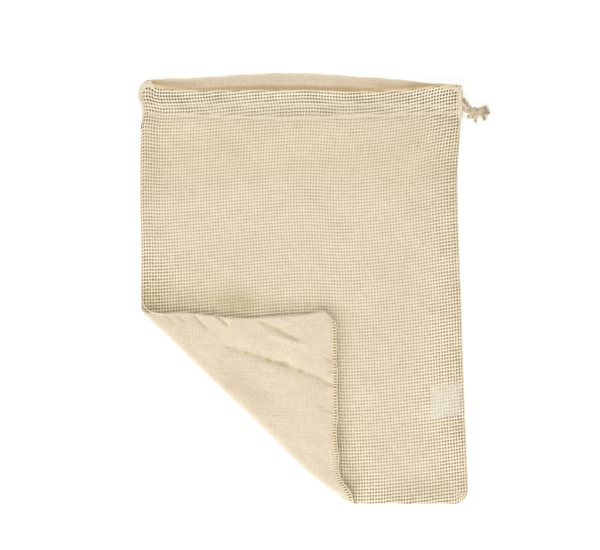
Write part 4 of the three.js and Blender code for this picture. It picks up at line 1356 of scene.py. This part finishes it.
class BAG_OT_seam_wrap(Operator):
    """Wrap the net's last column of cells round the bottom seam, where the folded corner shows it"""

    bl_idname = "bag.seam_wrap"
    bl_label = "Net round the bottom seam"

    def execute(self, context):
        pitch = context.scene.bag_sizes.cell_across / MM
        columns = np.arange(WRAP_START, WRAP_END, pitch)
        points = RUNG["points"]
        steps = np.linspace(WRAP_FROM, WRAP_TO, points)
        bulge = RUNG["out"] + RUNG["bulge"] * np.sin(np.linspace(0, math.pi, points))
        paths = []
        for k, u in enumerate(columns):
            lean = RUNG["lean"] * math.sin(1.9 * k) * (steps - WRAP_FROM) / RUNG["lean_over"]
            place, du, _, normal = panel_frames("back", u + lean, steps)
            wide = np.full(points, RUNG["half"] + RUNG["uneven"] * math.sin(2.7 * k))
            lifted = on_floor(place - normal * bulge[:, None], RUNG["least_height"])
            paths.append((lifted, -du, -normal, wide, np.full(points, RUNG["deep"]), steps))
        along = np.arange(columns[0] - RAIL["past"], columns[-1] + RAIL["past"], pitch / 2)
        for up, half in rows_of(RAILS):
            place, _, dv, normal = panel_frames("back", along, up + RAIL["wave"] * np.sin(along * 1.3))
            wide = half * np.where(np.arange(len(along)) % 2 == 0, 1.1, 0.95)
            lifted = on_floor(place - normal * RAIL["out"], RAIL["least_height"])
            paths.append((lifted, dv, -normal, wide, np.full(len(along), RAIL["deep"]), along))
        for route, half in ((SEAM_ROLL, SEAM_ROLL_HALF), (FOOT_ROLL, FOOT_ROLL_HALF)):
            centres, at = smooth_route(route, 0.8)
            side, other = carried_frames(centres)
            thick = half * np.sin(np.linspace(0.12, math.pi - 0.12, len(at))) ** 0.4
            paths.append((centres, side, other, thick, thick, at))
        verts, faces, uv = tubes(paths, 6)
        wrap = new_piece("bottom_seam_net", verts, faces, uv, bpy.data.materials["net_cotton"])
        return {"FINISHED"}


# Seam allowances at the casing's ends: how far they stand off the net's middle, and how thick they get
BAND_RISE = 0.3
BAND_HALF = 0.5

# Sewing thread: where its rows end, the plain rows' points, and the zigzag over the hem's cut edge
STITCH_ENDS = (-ACROSS + 8, ACROSS - 3)
STITCH = {
    "up": {"front": -0.2, "back": 1.5}, "step": 0.45, "length": 2.7, "rise": 0.35, "half": 0.26,
    "deep": 0.22, "least_height": 0.25,
}
ZIGZAG = {"up": 0.2, "step": 0.3, "length": 0.9, "half": 2.3, "deep": 0.2, "under": 0.72}


class BAG_OT_stitching(Operator):
    """Sew the casing's stitch rows on the front and back"""

    bl_idname = "bag.stitching"
    bl_label = "Casing stitches"

    def execute(self, context):
        rows = [self.row("front", 1), self.row("back", -1), self.overlock()]
        verts, faces, uv = tubes(rows, 6)
        stitches = new_piece("casing_stitches", verts, faces, uv, bpy.data.materials["net_cotton"])
        verts, faces, uv = tubes([self.band(-1, LEFT_BAND), self.band(1, RIGHT_BAND)], 8)
        bands = new_piece("casing_bands", verts, faces, uv, bpy.data.materials["plain_cotton"])
        return {"FINISHED"}

    def band(self, side, shape):
        """The casing's seam allowance, turned over the net at one side and along the mouth's corner."""
        route, at = smooth_route([(inset, up, 0.0) for inset, up, _ in shape], 1.0)
        place, _, _, normal = panel_frames("front", side * (ACROSS - route[:, 0]), route[:, 1])
        along = unit(np.gradient(place, axis=0))
        nearest = np.linspace(0, 1, len(shape))
        half = np.interp(at / at[-1], nearest, [width for _, _, width in shape])
        centres = place + normal * BAND_RISE
        return centres, unit(np.cross(along, normal)), normal, half, BAND_HALF * half / half.max(), at

    def overlock(self):
        """Close zigzag over the hem's cut edge, just under the net's outer layer."""
        along = np.arange(*STITCH_ENDS, ZIGZAG["step"])
        swing = ZIGZAG["half"] * (2 * np.abs(np.mod(along / ZIGZAG["length"], 1.0) * 2 - 1) - 1)
        place, du, _, normal = self.stitch_frames("front", along, ZIGZAG["up"] + swing)
        return place - normal * ZIGZAG["under"], du, normal, *self.thread(along, ZIGZAG["deep"]), along

    def row(self, panel, side):
        """One row of stitches that rise and dip, on a panel's upper side or under it."""
        along = np.arange(*STITCH_ENDS, STITCH["step"])
        place, _, dv, normal = self.stitch_frames(panel, along, STITCH["up"][panel])
        thick = NET_THICK if panel == "front" else BACK_THICK
        wave = np.abs(np.sin(along / STITCH["length"] * math.pi)) ** 0.5
        lift = side * (thick / 2 + STITCH["rise"] * (wave - 1))
        place = on_floor(place + normal * lift[:, None], STITCH["least_height"])
        return place, dv, normal * side, *self.thread(along, STITCH["deep"]), along

    def stitch_frames(self, panel, along, shift):
        """Places and directions on a panel along its stitch line, shifted up the bag."""
        _, _, nominal, mouth, _ = flat_place(panel, along, np.full(len(along), UP))
        line = follow(MOUTH, "x", "stitch", nominal) if panel == "front" else mouth - HEM_DEPTH
        return panel_frames(panel, along, UP - (mouth - line - shift) + ROLL_RADIUS)

    def thread(self, along, deep):
        """Half width and half depth of a sewing thread at each of its points."""
        return np.full(len(along), STITCH["half"]), np.full(len(along), deep)


# Cord: how much thicker it is outside its casing, and where that fades from its start and before its end
CORD_FREE = {"thicker": 0.2, "start": (9, 14), "end": (12, 7)}
CORD_SIDES = 18
PLIES = 3
LEAST_OUTLINE = 0.74


class BAG_OT_drawstring(Operator):
    """Twist the drawstring from three plies along its route"""

    bl_idname = "bag.drawstring"
    bl_label = "Drawstring"

    def execute(self, context):
        lay = context.scene.bag_sizes.cord_lay / MM
        centres, at = smooth_route(CORD_ROUTE, 0.8)
        far, near = CORD_FREE["end"]
        ends = 1 - ramp(*CORD_FREE["start"], at) + ramp(at[-1] - far, at[-1] - near, at)
        verts, faces, uv = twisted_cord(centres, at, CORD_DIAMETER / 2, lay, 1 + CORD_FREE["thicker"] * ends)
        cord = new_piece("drawstring_cord", verts, faces, uv, bpy.data.materials["cord_cotton"])
        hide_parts("drawstring")
        return {"FINISHED"}


def twisted_cord(centres, at, radius, lay, thicker=1.0):
    """Plies laid round each other, as one closed skin."""
    side, other = carried_frames(centres)
    turn = np.arange(CORD_SIDES) * 2 * math.pi / CORD_SIDES
    angle = turn[None, :] - at[:, None] * 2 * math.pi / lay
    lobe = np.abs(np.mod(angle * PLIES / (2 * math.pi), 1.0) - 0.5) * 2 * math.pi / PLIES
    ply = 0.5 * radius
    outline = ply * np.cos(lobe) + np.sqrt(np.maximum(ply**2 - (ply * np.sin(lobe)) ** 2, 0))
    outline = np.maximum(outline, LEAST_OUTLINE * radius) * np.broadcast_to(thicker, at.shape)[:, None]
    ring = (
        centres[:, None, :]
        + (np.cos(turn)[None, :] * outline)[..., None] * side[:, None, :]
        + (np.sin(turn)[None, :] * outline)[..., None] * other[:, None, :]
    )
    uv = np.stack([angle * radius, np.broadcast_to(at[:, None], angle.shape)], axis=-1).reshape(-1, 2)
    return ring.reshape(-1, 3), tube_faces(len(centres), CORD_SIDES), uv


class BAG_OT_knot(Operator):
    """Tie both cord ends in one overhand knot with short frayed ends"""

    bl_idname = "bag.knot"
    bl_label = "Knot"

    def execute(self, context):
        parts = []
        ends = [(CORD_ROUTE[0], 0.0), (CORD_ROUTE[-1], math.pi * 0.55)]
        for end, phase in ends:
            centres, at = smooth_route(self.strand(end, phase), 0.7)
            parts.append(twisted_cord(centres, at, KNOT_STRAND / 2, KNOT_LAY))
        parts.append(tubes(self.fibres(), 4))
        verts, faces, uv = joined(parts)
        knot = new_piece("drawstring_tie", verts, faces, uv, bpy.data.materials["cord_cotton"])
        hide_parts("drawstring_knot")
        return {"FINISHED"}

    def strand(self, end, phase):
        """One cord end: through the knot, back round it in slanted wraps, and out at the frayed side."""
        y, z = KNOT_MIDDLE
        wrap = KNOT_WRAP
        offset = KNOT_CORE * math.cos(phase)

        def along_core(table):
            return [(x, y + share * offset + dy, z + dz) for x, share, dy, dz in table]

        wraps = []
        for t in np.linspace(0, 1, wrap["points"]):
            angle = phase - math.pi / 2 + t * wrap["turns"] * 2 * math.pi
            dy = wrap["ry"] * math.cos(angle) * (1 - 0.1 * t)
            x = wrap["to_x"] + (wrap["from_x"] - wrap["to_x"]) * t + wrap["slant"] * dy
            wraps.append((x, y + dy, z + wrap["rz"] * math.sin(angle)))
        return [end, *along_core(KNOT_IN), *wraps, *along_core(KNOT_OUT)]

    def fibres(self):
        """Short tufts of loosened plies, and a wisp under the knot."""
        rng = np.random.default_rng(5)
        t = np.linspace(0, 1, FIBRE_POINTS)[:, None]
        paths = []
        for x, y, z, turn, length, spread, count in rows_of(FRAY_TUFTS):
            for _ in range(count):
                heading = math.radians(turn) + rng.normal(0.0, spread)
                reach = length * rng.uniform(0.65, 1.05)
                start = np.array([x, y, z]) + rng.normal(0, (0.5, 0.7, 0.7))
                direction = np.array([math.cos(heading), math.sin(heading), rng.normal(0.0, 0.22)])
                bend = np.array([rng.normal(0, 0.5), rng.normal(0, 0.7), rng.normal(-0.5, 0.4)])
                centres = start + direction * reach * t + bend * t * t
                centres[:, 2] = np.clip(centres[:, 2], *FIBRE_HEIGHTS)
                centres[:, 0] = np.minimum(centres[:, 0], FIBRE_END)
                side, other = carried_frames(centres)
                size = np.linspace(*FIBRE_HALF, FIBRE_POINTS) * rng.uniform(0.75, 1.25)
                paths.append((centres, side, other, size, size, t[:, 0] * reach))
        return paths


class BAG_OT_label(Operator):
    """Sew the blank care label into the right side seam"""

    bl_idname = "bag.label"
    bl_label = "Care label"

    def execute(self, context):
        x1, x2, y1, y2 = (LABEL[key] for key in ("x1", "x2", "y1", "y2"))
        columns, rows = lines((x1, x2, 1.0)), lines((y1, y2, 1.0))
        u, v = np.meshgrid(columns, rows, indexing="ij")
        curl = ramp(x1 + LABEL_CURL["across"], x1, u) * ramp(y1 + LABEL_CURL["up"], y1, v)
        ripple = np.sin(u / LABEL_RIPPLE["across"]) * np.sin(v / LABEL_RIPPLE["up"])
        slope = LABEL_CROWN["slope"]
        crown = ramp(x1, x1 + slope, u) * ramp(x2, x2 - slope, u)
        crown = crown * ramp(y1, y1 + slope, v) * ramp(y2, y2 - slope, v)
        height = LABEL["height"] + LABEL_CURL["height"] * curl
        height = height + LABEL_RIPPLE["height"] * ripple + LABEL_CROWN["height"] * crown
        place = np.stack([u, v + LABEL["rise"] * (u - x1), height], axis=-1).reshape(-1, 3)
        normal = np.zeros_like(place)
        normal[:, 2] = 1.0
        n = len(rows)
        cells = [
            [i * n + j, (i + 1) * n + j, (i + 1) * n + j + 1, i * n + j + 1]
            for i in range(len(columns) - 1)
            for j in range(n - 1)
        ]
        uv = np.stack([u, v], axis=-1).reshape(-1, 2)
        verts, faces, uv, rim = cloth_solid(place, normal, uv, cells, LABEL_THICK)
        label = new_piece("label_cloth", verts, faces, uv, bpy.data.materials["label_tape"])
        flatten_faces(label, rim)
        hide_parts("care_label")
        return {"FINISHED"}


# Stage: the floor's finish, two soft lamps in metres and watts, and the light from all round
FLOOR_FINISH = {
    "Roughness": 0.9, "Specular IOR Level": 0.0, "Emission Color": (1, 1, 1, 1), "Emission Strength": 0.62,
}
LIGHTS = {
    "key_light": {"place": (-0.85, -2.05, 1.55), "size": 1.9, "power": 67.0, "colour": (1.0, 0.99, 0.97)},
    "fill_light": {"place": (0.5, 1.6, 2.3), "size": 1.8, "power": 30.0, "colour": (1.0, 0.98, 0.95)},
}
ROOM_LIGHT = {"Color": (1.0, 0.98, 0.94, 1), "Strength": 0.52}


class BAG_OT_stage(Operator):
    """Set the pale floor, the soft light and the camera straight above"""

    bl_idname = "bag.stage"
    bl_label = "Floor, light and camera"

    FRAME_WIDTH = 0.564
    CENTRE = (-0.0033, 0.0127)
    DISTANCE = 3.0
    SENSOR = 36.0

    def execute(self, context):
        scene = context.scene
        bpy.ops.object.select_all(action="DESELECT")
        bpy.ops.mesh.primitive_plane_add(size=8.0, location=(0, 0, -0.0002))
        floor = context.object
        floor.name = "floor"
        material = bpy.data.materials.new("pale_floor")
        material.use_nodes = True
        w = Wiring(material.node_tree)
        shader = material.node_tree.nodes["Principled BSDF"]
        colour = tuple(scene.bag_colours.floor)
        place = w.node("ShaderNodeTexCoord")
        soft = w.remap(w.noise(place.outputs["Object"], scale=6.0, detail=2.0), low=0.3, high=0.7)
        w.link(w.blend(soft, colour, darker(colour, 0.99)), shader.inputs["Base Color"])
        for socket, value in FLOOR_FINISH.items():
            shader.inputs[socket].default_value = value
        floor.data.materials.append(material)
        self.camera(scene)
        for name, values in LIGHTS.items():
            self.light(name, **values)
        world = bpy.data.worlds.new("soft_room")
        scene.world = world
        world.use_nodes = True
        for socket, value in ROOM_LIGHT.items():
            world.node_tree.nodes["Background"].inputs[socket].default_value = value
        scene.view_settings.view_transform = "Standard"
        return {"FINISHED"}

    def camera(self, scene):
        """A long lens straight above, so that the bag has its photographed outline."""
        data = bpy.data.cameras.new("camera")
        data.sensor_width = self.SENSOR
        data.lens = self.SENSOR * self.DISTANCE / self.FRAME_WIDTH
        data.clip_end = 20.0
        camera = bpy.data.objects.new("camera", data)
        camera.location = (*self.CENTRE, self.DISTANCE)
        scene.collection.objects.link(camera)
        scene.camera = camera

    def light(self, name, place, size, power, colour):
        """A square soft lamp that points at the bag."""
        data = bpy.data.lights.new(name, "AREA")
        data.size = size
        data.energy = power
        data.color = colour
        lamp = bpy.data.objects.new(name, data)
        lamp.location = place
        lamp.rotation_euler = (-Vector(place)).to_track_quat("-Z", "Y").to_euler()
        bpy.context.scene.collection.objects.link(lamp)


class BAG_PT_panel(Panel):
    """Sizes, colours and pieces of the bag"""

    bl_label = "Produce bag"
    bl_idname = "BAG_PT_panel"
    bl_space_type = "VIEW_3D"
    bl_region_type = "UI"
    bl_category = "Produce bag"

    def draw(self, context):
        layout = self.layout
        for group in (context.scene.bag_sizes, context.scene.bag_colours):
            box = layout.box()
            for name in group.__annotations__:
                box.prop(group, name)
        for operator in OPERATORS:
            layout.operator(operator.bl_idname)


OPERATORS = (
    BAG_OT_finishes,
    BAG_OT_back_cloth,
    BAG_OT_net,
    BAG_OT_seam_wrap,
    BAG_OT_stitching,
    BAG_OT_knot,
    BAG_OT_drawstring,
    BAG_OT_label,
    BAG_OT_stage,
)
CLASSES = (BagSizes, BagColours, *OPERATORS, BAG_PT_panel)


def register():
    for cls in CLASSES:
        bpy.utils.register_class(cls)
    bpy.types.Scene.bag_sizes = PointerProperty(type=BagSizes)
    bpy.types.Scene.bag_colours = PointerProperty(type=BagColours)


def unregister():
    del bpy.types.Scene.bag_colours
    del bpy.types.Scene.bag_sizes
    for cls in reversed(CLASSES):
        bpy.utils.unregister_class(cls)


def main():
    """Make every piece in order."""
    register()
    for operator in OPERATORS:
        group, name = operator.bl_idname.split(".")
        getattr(getattr(bpy.ops, group), name)()


if __name__ == "__main__":
    main()
